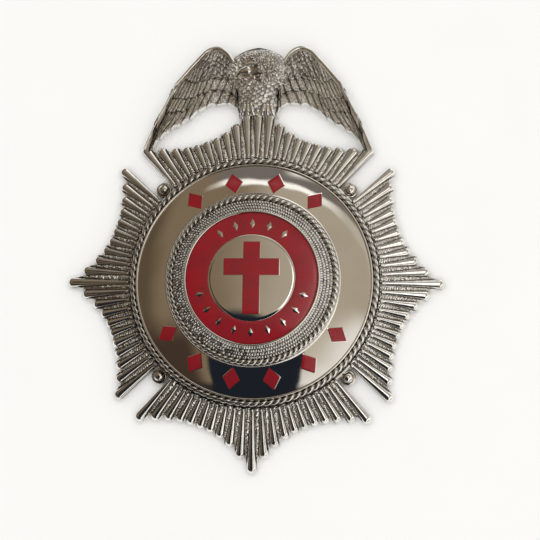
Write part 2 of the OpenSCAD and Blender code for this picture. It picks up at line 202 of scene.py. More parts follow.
def relief(top: Array, floor: float = 0.0, **values: Array) -> Shape:
    """Solid between a sheet of points and a flat back.

    The points with one column number lie on a straight line in plan, so the back and the two side walls
    need only the ends of those lines.

    Args:
        top: Points of the sheet, rows by columns by three.
        floor: Height of the back.
        values: Values at the points of the sheet, which are nought on the back.

    Returns:
        The closed shape.
    """
    rows, columns, _ = top.shape
    count = rows * columns
    ends = top[[0, -1]].copy()
    ends[..., 2] = floor
    first = count + np.arange(columns)
    last = first + columns
    top_last = (rows - 1) * columns + np.arange(columns)
    left = np.arange(rows) * columns
    right = left + columns - 1
    faces = [
        cells(rows, columns),
        np.stack([first[:-1], last[:-1], last[1:], first[1:]], axis=1),
        np.stack([np.arange(1, columns), np.arange(columns - 1), first[:-1], first[1:]], axis=1),
        np.stack([top_last[:-1], top_last[1:], last[1:], last[:-1]], axis=1),
        np.concatenate([left, [last[0], first[0]]])[None, :],
        np.concatenate([right[::-1], [first[-1], last[-1]]])[None, :],
    ]
    points = np.concatenate([top.reshape(-1, 3), ends.reshape(-1, 3)])
    nought = np.zeros(columns * 2)
    padded = {name: np.concatenate([value.ravel(), nought]) for name, value in values.items()}
    return Shape(points, faces, padded).outward()


def slab(top: Array, depth: float) -> Shape:
    """Solid between a sheet of points and the same sheet moved down, with walls round its four sides.

    Args:
        top: Points of the sheet, rows by columns by three.
        depth: Thickness of the slab.

    Returns:
        The closed shape.
    """
    return kept_slab(top, np.ones((top.shape[0] - 1, top.shape[1] - 1), bool), depth)


def kept_slab(top: Array, keep: NDArray[np.bool_], depth: float) -> Shape:
    """Slab over the kept cells of a grid, with a wall wherever a kept cell has no kept neighbour.

    Args:
        top: Points of the sheet, rows by columns by three.
        keep: Whether each cell is part of the slab.
        depth: Thickness of the slab.

    Returns:
        The closed shape.
    """
    rows, columns, _ = top.shape
    count = rows * columns
    number = np.arange(count).reshape(rows, columns)
    kept = cells(rows, columns)[keep.ravel()]
    ringed = np.pad(keep, 1)
    walls = []
    borders = [
        (ringed[:-2, 1:-1], number[:-1, :-1], number[:-1, 1:]),
        (ringed[2:, 1:-1], number[1:, 1:], number[1:, :-1]),
        (ringed[1:-1, :-2], number[1:, :-1], number[:-1, :-1]),
        (ringed[1:-1, 2:], number[:-1, 1:], number[1:, 1:]),
    ]
    for beyond, start, end in borders:
        edge = keep & ~beyond
        a, b = start[edge], end[edge]
        walls.append(np.stack([b, a, a + count, b + count], axis=1))
    under = top.copy()
    under[..., 2] -= depth
    points = np.concatenate([top.reshape(-1, 3), under.reshape(-1, 3)])
    faces = [kept, kept[:, ::-1] + count, *walls]
    used = np.unique(np.concatenate([group.ravel() for group in faces]))
    renumber = np.zeros(count * 2, np.int64)
    renumber[used] = np.arange(len(used))
    return Shape(points[used], [renumber[group] for group in faces]).outward()


def polar(radius: Array, angle: Array, height: Array) -> Array:
    """Grid of points at radii, at angles in radians clockwise from the top, and at heights."""
    parts = np.broadcast_arrays(radius * np.sin(angle), radius * np.cos(angle), height)
    return np.stack(parts, axis=-1)


def diamond(steps: int, middle_r: float, half_h: float, half_w: float, degrees: float
            ) -> tuple[Array, Array, Array]:
    """Grid over a lozenge that stands on a circle.

    Half the sum and half the difference of two parameters from -1 to 1 run along its two diagonals.

    Args:
        steps: Points along each of its sides.
        middle_r: Radius of the circle.
        half_h: Half its diagonal along the radius.
        half_w: Half its other diagonal.
        degrees: Its place on the circle, clockwise from the top.

    Returns:
        The points' x and y, and the larger parameter at each, which is 1 on the lozenge's sides.
    """
    step = np.linspace(-1, 1, steps)
    a, b = np.meshgrid(step, step)
    radius = middle_r + (a + b) / 2 * half_h
    beside = (a - b) / 2 * half_w
    turn = math.radians(degrees)
    x = radius * math.sin(turn) + beside * math.cos(turn)
    y = radius * math.cos(turn) - beside * math.sin(turn)
    return x, y, np.maximum(np.abs(a), np.abs(b))


def capped(rings: Array, ends: Array) -> Shape:
    """Solid of closed rings of points, one after the other, with one point at each end.

    Args:
        rings: Points, rings by places round a ring by three.
        ends: The point at the first ring's end, and the one at the last ring's.

    Returns:
        The closed shape.
    """
    rows, around, _ = rings.shape
    count = rows * around
    start = np.arange(around)
    after = (start + 1) % around
    low = count - around
    caps = [
        np.stack([after, start, np.full(around, count)], axis=1),
        np.stack([start + low, after + low, np.full(around, count + 1)], axis=1),
    ]
    points = np.concatenate([rings.reshape(-1, 3), ends])
    return Shape(points, [cells(rows, around, close_columns=True), *caps]).outward()


def turned(profile: list[tuple[float, float]] | Array, turns: int) -> Shape:
    """Solid turned round the axis from a profile that starts and ends on it.

    Args:
        profile: Radius and height of each point of the profile.
        turns: Points round the axis.

    Returns:
        The closed shape, with one point at each end of the axis.
    """
    line = np.asarray(profile, float)
    angle = np.arange(turns) * 2 * np.pi / turns
    rings = polar(line[1:-1, :1], angle, line[1:-1, 1:])
    return capped(rings, np.array([[0, 0, line[0, 1]], [0, 0, line[-1, 1]]]))


def hoop(loops: Array, **values: Array) -> Shape:
    """Ring-shaped solid from a grid of points that closes on itself both ways.

    Args:
        loops: Points, places round the ring by places round its section by three.
        values: Values at the points.

    Returns:
        The closed shape.
    """
    rows, columns, _ = loops.shape
    flat = {name: value.ravel() for name, value in values.items()}
    return Shape(loops.reshape(-1, 3), [cells(rows, columns, True, True)], flat).outward()


def swept(path: Array, radii: Array, sides: int = 10) -> Shape:
    """Round bar along a path, closed to a point at each end.

    Each ring stands square to the path: its points are the path's point plus the radius times the cosine
    of an angle along one normal and its sine along the other.

    Args:
        path: Points along the middle of the bar.
        radii: Radius of the bar at each point.
        sides: Points round the bar.

    Returns:
        The closed shape.
    """
    along = np.gradient(path, axis=0)
    along /= np.linalg.norm(along, axis=1, keepdims=True)
    across = np.cross(along, [0.0, 0.0, 1.0])
    across /= np.linalg.norm(across, axis=1, keepdims=True)
    upward = np.cross(across, along)
    angle = np.arange(sides) * 2 * np.pi / sides
    rings = (path[:, None] + radii[:, None, None]
             * (across[:, None] * np.cos(angle)[:, None] + upward[:, None] * np.sin(angle)[:, None]))
    return capped(rings, path[[0, -1]] + along[[0, -1]] * radii[[0, -1], None] * [[-1], [1]])


def speckle(rng: np.random.Generator, rows: int, columns: int) -> Array:
    """Grains of random height over a grid, from random numbers blended with their neighbours.

    Args:
        rng: Source of the random numbers.
        rows: Rows of the grid.
        columns: Columns of the grid.

    Returns:
        The heights.
    """
    noise = rng.uniform(-1, 1, (rows + 1, columns + 1))
    return (noise[:-1, :-1] + noise[1:, :-1] + noise[:-1, 1:] + noise[1:, 1:]) / 2


def fraction(value: Array) -> Array:
    """The part of each value after its whole number."""
    return value - np.floor(value)


def smooth_step(value: Array, low: float, high: float) -> Array:
    """Rises from 0 at low to 1 at high, level at both ends."""
    share = np.clip((value - low) / (high - low), 0, 1)
    return share * share * (3 - 2 * share)


def scales(across: Array, along: Array, lift: Array) -> Array:
    """Relief of overlapping round-ended feathers, from 0 to about 1.

    Two layers of rows, half a feather apart both ways, each rise along the feather and drop at its round
    end, and the higher layer shows. A feather's end bows by a share of a row and its sides lie lower than
    its middle, both with the square of the distance from its middle. Each feather is scaled by its own
    number of a square table.

    Args:
        across: Place across the feathers, in feathers.
        along: Place along the feathers, in rows.
        lift: Table of the feathers' heights.

    Returns:
        The height.
    """
    size = len(lift)
    layers = []
    for shift in (0.0, 0.5):
        place = across + shift
        side = 2 * fraction(place) - 1
        step = along / 2 + shift - SCALE_BOW * (1 - side**2)
        own = lift[np.floor(place).astype(int) % size, np.floor(step).astype(int) % size]
        layers.append(fraction(step) * (1 - SCALE_ROUND * side**2) * own)
    return np.maximum(*layers)


class Finish(Enum):
    """The finishes of the badge's surfaces."""

    POLISHED = "polished_plate"
    CAST = "cast_plate"
    ENAMEL = "red_enamel"
    PIN = "pin_metal"


@dataclass(frozen=True)
class PlateFinish:
    """Bright nickel plate, smooth on polished faces and grainy on cast ones.

    The value named recess at a point paints shade into the metal's grooves and roughens it there, and the
    value named grit roughens it where the casting is stippled. The colour shade_and_patch is the colour
    of that painted shade, and also of faint cloudy patches.
    """

    name: str
    bright: Colour
    shade_and_patch: Colour
    smooth: float
    rough: float
    patch_scale: float
    grain_scale: float
    grain_height: float


@dataclass(frozen=True)
class EnamelFinish:
    """Hard glossy enamel with a faint unevenness of colour and surface."""

    name: str
    colour: Colour
    deep: Colour
    smooth: float
    rough: float
    specular: float
    coat: float
    coat_rough: float
    cloud_scale: float
    ripple_scale: float
    ripple_height: float


PLATES = {
    # Each plate's second colour is the painted shade of its grooves, and also the colour of faint cloudy
    # patches
    Finish.POLISHED: PlateFinish("polished_plate", (0.83, 0.80, 0.755), (0.66, 0.62, 0.56), 0.045, 0.10,
                                 160.0, 2600.0, 0.000004),
    Finish.CAST: PlateFinish("cast_plate", (0.88, 0.865, 0.835), (0.12, 0.102, 0.083), 0.06, 0.34,
                             420.0, 3600.0, 0.00003),
    Finish.PIN: PlateFinish("pin_metal", (0.70, 0.69, 0.66), (0.42, 0.40, 0.37), 0.24, 0.40,
                            300.0, 3000.0, 0.00001),
}
ENAMEL = EnamelFinish("red_enamel", (0.235, 0.004, 0.010), (0.18, 0.003, 0.008), 0.16, 0.30,
                      specular=0.4, coat=0.35, coat_rough=0.12,
                      cloud_scale=240.0, ripple_scale=900.0, ripple_height=0.000006)


class NodeSheet:
    """Adds nodes to a node tree and links them."""

    def __init__(self, tree: bpy.types.NodeTree) -> None:
        """Keeps the tree to work on."""
        self.tree = tree

    def add(self, kind: str, inputs: dict | None = None, **settings: object) -> bpy.types.Node:
        """Adds one node.

        Args:
            kind: Blender's name for the node's type.
            inputs: Values or sockets for the node's inputs, by name or place.
            settings: Values for the node's own properties.

        Returns:
            The node.
        """
        node = self.tree.nodes.new(kind)
        for name, value in settings.items():
            setattr(node, name, value)
        for key, value in (inputs or {}).items():
            if isinstance(value, bpy.types.NodeSocket):
                self.tree.links.new(value, node.inputs[key])
            else:
                node.inputs[key].default_value = value
        return node

    def math(self, operation: str, first: object, second: object = 0.0) -> bpy.types.NodeSocket:
        """Result of a Math node on two sockets or numbers."""
        return self.add("ShaderNodeMath", {0: first, 1: second}, operation=operation).outputs[0]

    def ramp(self, value: object, low: float, high: float, to_low: float = 0.0, to_high: float = 1.0
             ) -> bpy.types.NodeSocket:
        """Smoothly mapped value.

        Args:
            value: Socket to map.
            low: Value that gives to_low.
            high: Value that gives to_high.
            to_low: First result.
            to_high: Last result.

        Returns:
            The result's socket.
        """
        inputs = {"Value": value, "From Min": low, "From Max": high, "To Min": to_low, "To Max": to_high}
        return self.add("ShaderNodeMapRange", inputs, interpolation_type="SMOOTHSTEP").outputs["Result"]

    def mix(self, share: object, first: object, second: object) -> bpy.types.NodeSocket:
        """Colour between two colours or colour sockets."""
        first, second = (end if isinstance(end, bpy.types.NodeSocket) else (*end, 1.0)
                         for end in (first, second))
        return self.add("ShaderNodeMix", {0: share, 6: first, 7: second}, data_type="RGBA").outputs[2]

    def vector(self, operation: str, inputs: dict) -> bpy.types.NodeSocket:
        """Result of a Vector Math node."""
        return self.add("ShaderNodeVectorMath", inputs, operation=operation).outputs[0]

    def length(self, x: bpy.types.NodeSocket, y: bpy.types.NodeSocket) -> bpy.types.NodeSocket:
        """Length of the vector x, y."""
        return self.math("SQRT", self.math("ADD", self.times(x, x), self.times(y, y)))

    def times(self, first: bpy.types.NodeSocket, *others: object) -> bpy.types.NodeSocket:
        """Product of sockets and numbers."""
        for other in others:
            first = self.math("MULTIPLY", first, other)
        return first

    def noise(self, place: object, scale: object, detail: float, output: str = "Fac"
              ) -> bpy.types.NodeSocket:
        """Noise at a place, as one value or as a colour."""
        inputs = {"Vector": place, "Scale": scale, "Detail": detail}
        return self.add("ShaderNodeTexNoise", inputs).outputs[output]

    def feed(self, node: bpy.types.Node, sockets: dict[str, bpy.types.NodeSocket]) -> None:
        """Links sockets to the inputs of a node that is there already."""
        for name, socket in sockets.items():
            self.tree.links.new(socket, node.inputs[name])


def new_group(name: str, inputs: dict[str, str], outputs: dict[str, str]
              ) -> tuple[bpy.types.NodeTree, NodeSheet, bpy.types.Node]:
    """Starts a shader node group with named sockets.

    Args:
        name: Name of the group.
        inputs: Socket type of each input, by name.
        outputs: Socket type of each output, by name.

    Returns:
        The group, a sheet to add its nodes with, and its input node.
    """
    tree = bpy.data.node_groups.new(name, "ShaderNodeTree")
    for socket, kind in inputs.items():
        tree.interface.new_socket(name=socket, in_out="INPUT", socket_type=kind)
    for socket, kind in outputs.items():
        tree.interface.new_socket(name=socket, in_out="OUTPUT", socket_type=kind)
    sheet = NodeSheet(tree)
    return tree, sheet, sheet.add("NodeGroupInput")


def plate_shade_and_wear_group() -> bpy.types.NodeTree:
    """Node group for plated metal: cloudy patches, fine grain, and painted shade in the recesses.

    The shade-and-patch share is the painted shade plus a little cloud noise. It mixes the two colours and
    the two roughnesses, so the painted shade also roughens the metal, and the height is fine noise that
    grows with the grit.

    Returns:
        The group.
    """
    inputs = {"Vector": "NodeSocketVector", "Painted shade": "NodeSocketFloat", "Grit": "NodeSocketFloat",
              "Bright": "NodeSocketColor", "Shade and patch": "NodeSocketColor", "Smooth": "NodeSocketFloat",
              "Rough": "NodeSocketFloat", "Patch scale": "NodeSocketFloat",
              "Grain scale": "NodeSocketFloat"}
    outputs = {"Colour": "NodeSocketColor", "Roughness": "NodeSocketFloat", "Height": "NodeSocketFloat"}
    tree, sheet, given = new_group("PlateShadeAndWear", inputs, outputs)
    place = given.outputs["Vector"]
    patch = sheet.noise(place, given.outputs["Patch scale"], 3.0)
    grain = sheet.noise(place, given.outputs["Grain scale"], 2.0)
    cloud = sheet.ramp(patch, 0.42, 0.75, 0.0, 0.20)
    # Painted shade: the recesses take the darker colour, and a little cloud noise adds real patchy tone
    shade_and_patch = sheet.math("MINIMUM", sheet.math("ADD", given.outputs["Painted shade"], cloud), 1.0)
    colour = sheet.mix(shade_and_patch, given.outputs["Bright"], given.outputs["Shade and patch"])
    spread = sheet.math("SUBTRACT", given.outputs["Rough"], given.outputs["Smooth"])
    shade_or_grit = sheet.math("MAXIMUM", shade_and_patch, given.outputs["Grit"])
    rough = sheet.math("ADD", given.outputs["Smooth"], sheet.math("MULTIPLY", spread, shade_or_grit))
    amount = sheet.math("ADD", 0.25, sheet.math("MULTIPLY", given.outputs["Grit"], 1.5))
    height = sheet.math("MULTIPLY", grain, amount)
    sheet.add("NodeGroupOutput", {"Colour": colour, "Roughness": rough, "Height": height})
    return tree


class Workshop:
    """Makes the materials once each, and turns shapes into finished pieces."""

    def __init__(self, site: Site) -> None:
        """Builds the materials.

        Args:
            site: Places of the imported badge.
        """
        self.site = site
        self.shade_and_wear = plate_shade_and_wear_group()
        self.materials = {kind: self.plate(finish) for kind, finish in PLATES.items()}
        self.materials[Finish.ENAMEL] = self.enamel(ENAMEL)

    def start(self, name: str) -> tuple[bpy.types.Material, NodeSheet, bpy.types.Node]:
        """Starts a material.

        Args:
            name: Name of the material.

        Returns:
            The material, a sheet to add its nodes with, and its Principled node.
        """
        material = bpy.data.materials.new(name)
        material.use_nodes = True
        material.node_tree.nodes.clear()
        sheet = NodeSheet(material.node_tree)
        shader = sheet.add("ShaderNodeBsdfPrincipled")
        sheet.add("ShaderNodeOutputMaterial", {"Surface": shader.outputs[0]})
        return material, sheet, shader

    def plate(self, finish: PlateFinish) -> bpy.types.Material:
        """Material of a plated finish.

        Args:
            finish: The finish.

        Returns:
            The material.
        """
        material, sheet, shader = self.start(finish.name)
        place = sheet.add("ShaderNodeTexCoord").outputs["Object"]
        recess = sheet.add("ShaderNodeAttribute", attribute_name="recess").outputs["Fac"]
        grit = sheet.add("ShaderNodeAttribute", attribute_name="grit").outputs["Fac"]
        inputs = {"Vector": place, "Painted shade": recess, "Grit": grit, "Bright": (*finish.bright, 1.0),
                  "Shade and patch": (*finish.shade_and_patch, 1.0), "Smooth": finish.smooth, "Rough": finish.rough,
                  "Patch scale": finish.patch_scale, "Grain scale": finish.grain_scale}
        shade_and_wear = sheet.add("ShaderNodeGroup", inputs, node_tree=self.shade_and_wear)
        bump = sheet.add("ShaderNodeBump", {"Height": shade_and_wear.outputs["Height"], "Strength": 1.0,
                                            "Distance": finish.grain_height})
        shader.inputs["Metallic"].default_value = 1.0
        sheet.feed(shader, {"Base Color": shade_and_wear.outputs["Colour"], "Roughness": shade_and_wear.outputs["Roughness"],
                            "Normal": bump.outputs["Normal"]})
        return material

    def enamel(self, finish: EnamelFinish) -> bpy.types.Material:
        """Material of the enamel: two near reds in soft clouds under a clear coat.

        Args:
            finish: The finish.

        Returns:
            The material.
        """
        material, sheet, shader = self.start(finish.name)
        place = sheet.add("ShaderNodeTexCoord").outputs["Object"]
        cloud = sheet.noise(place, finish.cloud_scale, 4.0)
        ripple = sheet.noise(place, finish.ripple_scale, 1.0)
        bump = sheet.add("ShaderNodeBump", {"Height": ripple, "Strength": 1.0,
                                            "Distance": finish.ripple_height})
        shader.inputs["Metallic"].default_value = 0.0
        shader.inputs["Specular IOR Level"].default_value = finish.specular
        shader.inputs["Coat Weight"].default_value = finish.coat
        shader.inputs["Coat Roughness"].default_value = finish.coat_rough
        red = sheet.mix(sheet.ramp(cloud, 0.35, 0.7), finish.colour, finish.deep)
        sheet.feed(shader, {"Base Color": red,
                            "Roughness": sheet.ramp(cloud, 0.3, 0.8, finish.smooth, finish.rough),
                            "Normal": bump.outputs["Normal"]})
        return material

    def dress(self, piece: bpy.types.Object, finish: Finish) -> None:
        """Puts a finish on every face of a piece."""
        piece.data.materials.clear()
        piece.data.materials.append(self.materials[finish])

    def make(self, name: str, shape: Shape, finish: Finish, slot: str, nodes: list[str]) -> None:
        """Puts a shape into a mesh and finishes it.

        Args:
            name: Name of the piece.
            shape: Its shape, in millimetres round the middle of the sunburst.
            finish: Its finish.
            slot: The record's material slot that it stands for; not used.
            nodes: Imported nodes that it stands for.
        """
        mesh = bpy.data.meshes.new(name)
        corners = np.concatenate([group.ravel() for group in shape.faces]).astype(np.int32)
        totals = np.concatenate([np.full(len(group), group.shape[1]) for group in shape.faces])
        starts = np.concatenate([[0], np.cumsum(totals)[:-1]]).astype(np.int32)
        mesh.vertices.add(len(shape.points))
        mesh.loops.add(len(corners))
        mesh.polygons.add(len(totals))
        placed = (shape.points + [0.0, self.site.sun_y, 0.0]) * MM
        mesh.vertices.foreach_set("co", placed.astype(np.float32).ravel())
        mesh.loops.foreach_set("vertex_index", corners)
        mesh.polygons.foreach_set("loop_start", starts)
        mesh.update(calc_edges=True)
        for key, values in shape.values.items():
            attribute = mesh.attributes.new(key, "FLOAT", "POINT")
            attribute.data.foreach_set("value", values.astype(np.float32))
        mesh.validate()
        mesh.shade_smooth()
        mesh.set_sharp_from_angle(angle=SHARP_ANGLE)
        piece = bpy.data.objects.new(name, mesh)
        bpy.context.scene.collection.objects.link(piece)
        self.dress(piece, finish)
        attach(piece, BODY)
        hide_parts(*nodes)
        log.info("%s: %d triangles", name, int((totals - 2).sum()))

    def shell_part(self, name: str, shape: Shape, finish: Finish = Finish.CAST) -> None:
        """Makes a piece of the struck shell."""
        self.make(name, shape, finish, "plated_metal", ["badge_shell"])


@dataclass
class Sunburst:
    """Four fans of rounded rays with stippled ribs between them, and a stud in each notch.

    Lengths are millimetres and angles degrees. A fan's rays sink from its middle and its ends to their
    shortest length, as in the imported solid. Each ray widens from its root to its round tip.
    """

    workshop: Workshop
    seed: int = 7
    rays: int = 21
    fan_gap: float = 10.0
    root_r: float = 21.98
    end_r: float = 31.8
    short_r: float = 27.2
    crest_r: float = 30.8
    curve: float = 2.4
    root_w: float = 0.64
    tip_share: float = 0.84
    flare: float = 1.3
    groove: float = 0.04
    groove_depth: float = 0.30
    plate_root: float = 1.9
    plate_tip: float = 1.2
    end_sink: float = 0.42
    ray_rise: float = 0.42
    rib_rise: float = 0.30
    rib_short: float = 0.14
    rib_slant: float = 1.0
    rib_round: float = 0.35
    rib_root_round: float = 0.15
    rib_end_share: float = 0.25
    stipple: float = 0.085
    stipple_pitch: float = 0.42
    root_bead: float = 0.34
    bead_in: float = 0.42
    bead_w: float = 0.26
    start_back: float = 0.2
    stud_out: float = 1.42
    stud_ball_r: float = 0.95
    stud_ball_drop: float = 0.15
    stud_pad_r: float = 1.37
    stud_pad_round: float = 0.25
    stud_pad_drop: float = 0.30
    stud_back: float = 0.05
    ray_columns: int = 13
    rib_columns: int = 9
    length_rows: int = 65

    def fan_reach(self, k: Array, fan: int) -> Array:
        """Radius that ray k of a fan reaches, k counted from its middle ray.

        The length falls with the power curve of how far k lies from the quarter points of the fan. The
        rays under the eagle's claws, in the middle of the top fan, end early.

        Args:
            k: Number of the ray.
            fan: Which fan, counted clockwise from the top.

        Returns:
            The radius.
        """
        half = (self.rays - 1) / 2
        far = np.where(np.abs(k) < half / 2, self.workshop.site.mid_ray_r, self.end_r)
        reach = self.short_r + (far - self.short_r) * np.abs(1 - 2 * np.abs(k) / half) ** self.curve
        under_claws = (fan == 0) & (np.abs(k) < half / 2)
        return np.where(under_claws, np.minimum(reach, self.crest_r), reach)

    def pitch(self) -> float:
        """Angle between two rays, in radians."""
        return math.radians((90 - self.fan_gap) / (self.rays - 1))

    def width(self, radius: Array, reach: Array) -> Array:
        """Width at a radius of the ray with a given reach."""
        share = np.clip((radius - self.root_r) / (reach - self.root_r), 0, 1) ** self.flare
        return self.root_w + (self.tip_share * self.pitch() * reach - self.root_w) * share

    def plate(self, radius: Array) -> Array:
        """Height of the star plate at a radius."""
        share = (radius - self.root_r) / (self.workshop.site.mid_ray_r - self.root_r)
        return self.plate_root + (self.plate_tip - self.plate_root) * share

    def rib_reach(self, reach: Array, share: Array) -> Array:
        """Radius that each column of the ribs reaches.

        It is the shorter neighbour's reach less a part of its tip, and rises a little towards the longer.

        Args:
            reach: Radius that each ray reaches.
            share: Place of each column across a rib, from 0 to 1.

        Returns:
            The radii, ribs by columns.
        """
        first, second = reach[:-1, None], reach[1:, None]
        lower = np.minimum(first, second)
        toward = np.where(second > first, share, 1 - share)
        rise = np.minimum(np.abs(second - first), self.rib_slant) * toward
        return lower - self.rib_short + rise

    def fan(self, fan: int, rng: np.random.Generator) -> Shape:
        """One fan as a folded sheet on a flat back.

        A column of the sheet runs outwards at a steady place across its ray or rib: radius times a
        direction, plus half of each neighbouring ray's width times a side vector. Rays have half-round
        sections, and quarter-round ends both in plan and in height.

        Args:
            fan: Which fan, counted clockwise from the top.
            rng: Source of the stipple's random numbers.

        Returns:
            The fan's shape.
        """
        across, rib_across = self.ray_columns, self.rib_columns
        half = (self.rays - 1) // 2
        number = np.arange(-half, half + 1)
        angle = math.radians(90) * fan + self.pitch() * number
        outward = np.stack([np.sin(angle), np.cos(angle)], axis=-1)
        sideways = np.stack([np.cos(angle), -np.sin(angle)], axis=-1)
        side = np.sin(np.linspace(-np.pi / 2, np.pi / 2, across))
        share = np.linspace(0, 1, rib_across)[None, :]
        reach = self.fan_reach(number, fan)

        def weave(ray: Array, rib: Array) -> Array:
            """Lays the columns of rays and ribs side by side, and drops the rib after the last ray."""
            padded = np.concatenate([rib, rib[-1:]])
            both = np.concatenate([ray, padded], axis=1)
            count = self.rays * across + (self.rays - 1) * rib_across
            return both.reshape(-1, *both.shape[2:])[:count]

        def level(ray: Array, rib: Array) -> Array:
            """Values of the columns from one row for the rays and one for the ribs."""
            return weave(np.broadcast_to(ray, (self.rays, across)),
                         np.broadcast_to(rib, (self.rays - 1, rib_across)))

        wide = share[..., None]
        direction = weave(np.repeat(outward[:, None], across, axis=1), outward[:-1, None] * (1 - wide)
                          + outward[1:, None] * wide)
        first_side = weave(sideways[:, None] * side[None, :, None], sideways[:-1, None] * (1 - wide))
        second_side = weave(np.zeros((self.rays, across, 2)), -sideways[1:, None] * wide)
        crown = level(np.sqrt(1 - side**2)[None], np.sin(np.pi * (0.12 + 0.76 * share)))
        is_rib = level(np.zeros(1), np.ones(1)) > 0
        first_reach = level(reach[:, None], reach[:-1, None])
        second_reach = level(reach[:, None], reach[1:, None])
        tip = level(reach[:, None], self.rib_reach(reach, share))
        round_r = np.where(is_rib, self.rib_round, self.width(tip, tip) / 2)
        shoulder = tip - round_r
        root_round = np.where(is_rib, self.rib_root_round, self.root_w / 2)
        bulge = np.where(is_rib, 1, crown)

        turn = np.linspace(0, np.pi / 2, 7)[:, None]
        end_turn = np.linspace(0, np.pi / 2, 10)[1:, None]
        middle = np.linspace(0, 1, self.length_rows + 1)[1:, None]
        root_start = self.root_r + root_round * (1 - bulge)
        root_stop = self.root_r + root_round
        root_rows = root_start + (root_stop - root_start) * (1 - np.cos(turn))
        body_rows = root_stop + (shoulder - root_stop) * middle
        end_rows = shoulder + round_r * bulge * np.sin(end_turn)
        back_row = np.full((1, len(tip)), self.root_r - self.start_back)
        radius = np.concatenate([back_row, root_rows, body_rows, end_rows])
        level_rows = np.ones_like(body_rows)
        rise = np.concatenate([back_row * 0, np.sin(turn) * np.ones_like(tip), level_rows,
                               np.cos(end_turn) * np.ones_like(tip)])

        offset = (first_side * self.width(radius, first_reach)[..., None] / 2
                  + second_side * self.width(radius, second_reach)[..., None] / 2
                  + (first_side + second_side) * np.where(is_rib, self.groove, 0)[None, :, None])
        plan = direction[None] * radius[..., None] + offset
        wave = 2 * np.pi * radius / self.stipple_pitch + rng.uniform(0, 7, radius.shape[1]).cumsum() * 0.3
        grains = (speckle(rng, *radius.shape) * 0.8 + np.sin(wave) * 0.7) * self.stipple
        from_bead = (radius - self.root_r - self.bead_in) / self.bead_w
        bead = self.root_bead * np.exp(-(from_bead**2)) * crown
        beyond = (1 - rise) * (radius > self.root_r + 2)
        foot = self.plate(radius) * (1 - self.end_sink * beyond)
        edge = np.where(is_rib, 0, self.groove_depth * (1 - crown) ** 3)
        ray_height = (self.ray_rise * self.width(radius, first_reach) * crown + bead) * rise
        rib_share = self.rib_end_share + (1 - self.rib_end_share) * rise
        rib_height = (self.rib_rise * crown + grains) * rib_share
        height = foot + np.where(is_rib, rib_height, ray_height) - edge * rise
        # Painted shade in the grooves along the rays' edges and down the ribs' sides, weaker where they
        # round off at their ends
        deep = np.where(is_rib, 0.45 - 0.45 * crown, np.clip(0.95 - 2.0 * crown, 0, 1))
        recess = np.broadcast_to(deep, radius.shape) * (0.4 + 0.6 * (rise > 0.5))
        grit = np.broadcast_to(np.where(is_rib, 0.12, 0.0), radius.shape)
        top = np.concatenate([plan, height[..., None]], axis=-1)
        return relief(top, recess=recess, grit=grit)

    def stud(self) -> Shape:
        """Ball on a round pad, turned from a profile of the ball's arc and the pad's rounded edge.

        Returns:
            The stud, round the axis.
        """
        turn = np.linspace(0, np.pi * 0.66, 14)
        ball_z = self.plate_root - self.stud_ball_drop
        ball = np.stack([np.sin(turn), np.cos(turn)], axis=1) * self.stud_ball_r + [0, ball_z]
        edge = np.linspace(0, np.pi / 2, 6)
        pad_r = self.stud_pad_r - self.stud_pad_round
        pad_z = self.plate_root - self.stud_pad_drop - self.stud_pad_round
        pad = np.stack([np.sin(edge), np.cos(edge)], axis=1) * self.stud_pad_round + [pad_r, pad_z]
        foot = [[self.stud_pad_r, self.stud_back], [0.0, self.stud_back]]
        return turned(np.concatenate([ball, pad, foot]), 28)

    def build(self) -> None:
        """Makes the four fans and the studs."""
        rng = np.random.default_rng(self.seed)
        for fan, name in enumerate(("top", "right", "bottom", "left")):
            self.workshop.shell_part(f"rays_{name}", self.fan(fan, rng))
        stud = self.stud()
        studs = []
        for k in range(4):
            angle = math.radians(45 + 90 * k)
            middle = np.array([math.sin(angle), math.cos(angle), 0.0]) * (self.root_r + self.stud_out)
            studs.append(Shape(stud.points + middle, stud.faces))
        self.workshop.shell_part("notch_studs", joined(studs), Finish.POLISHED)


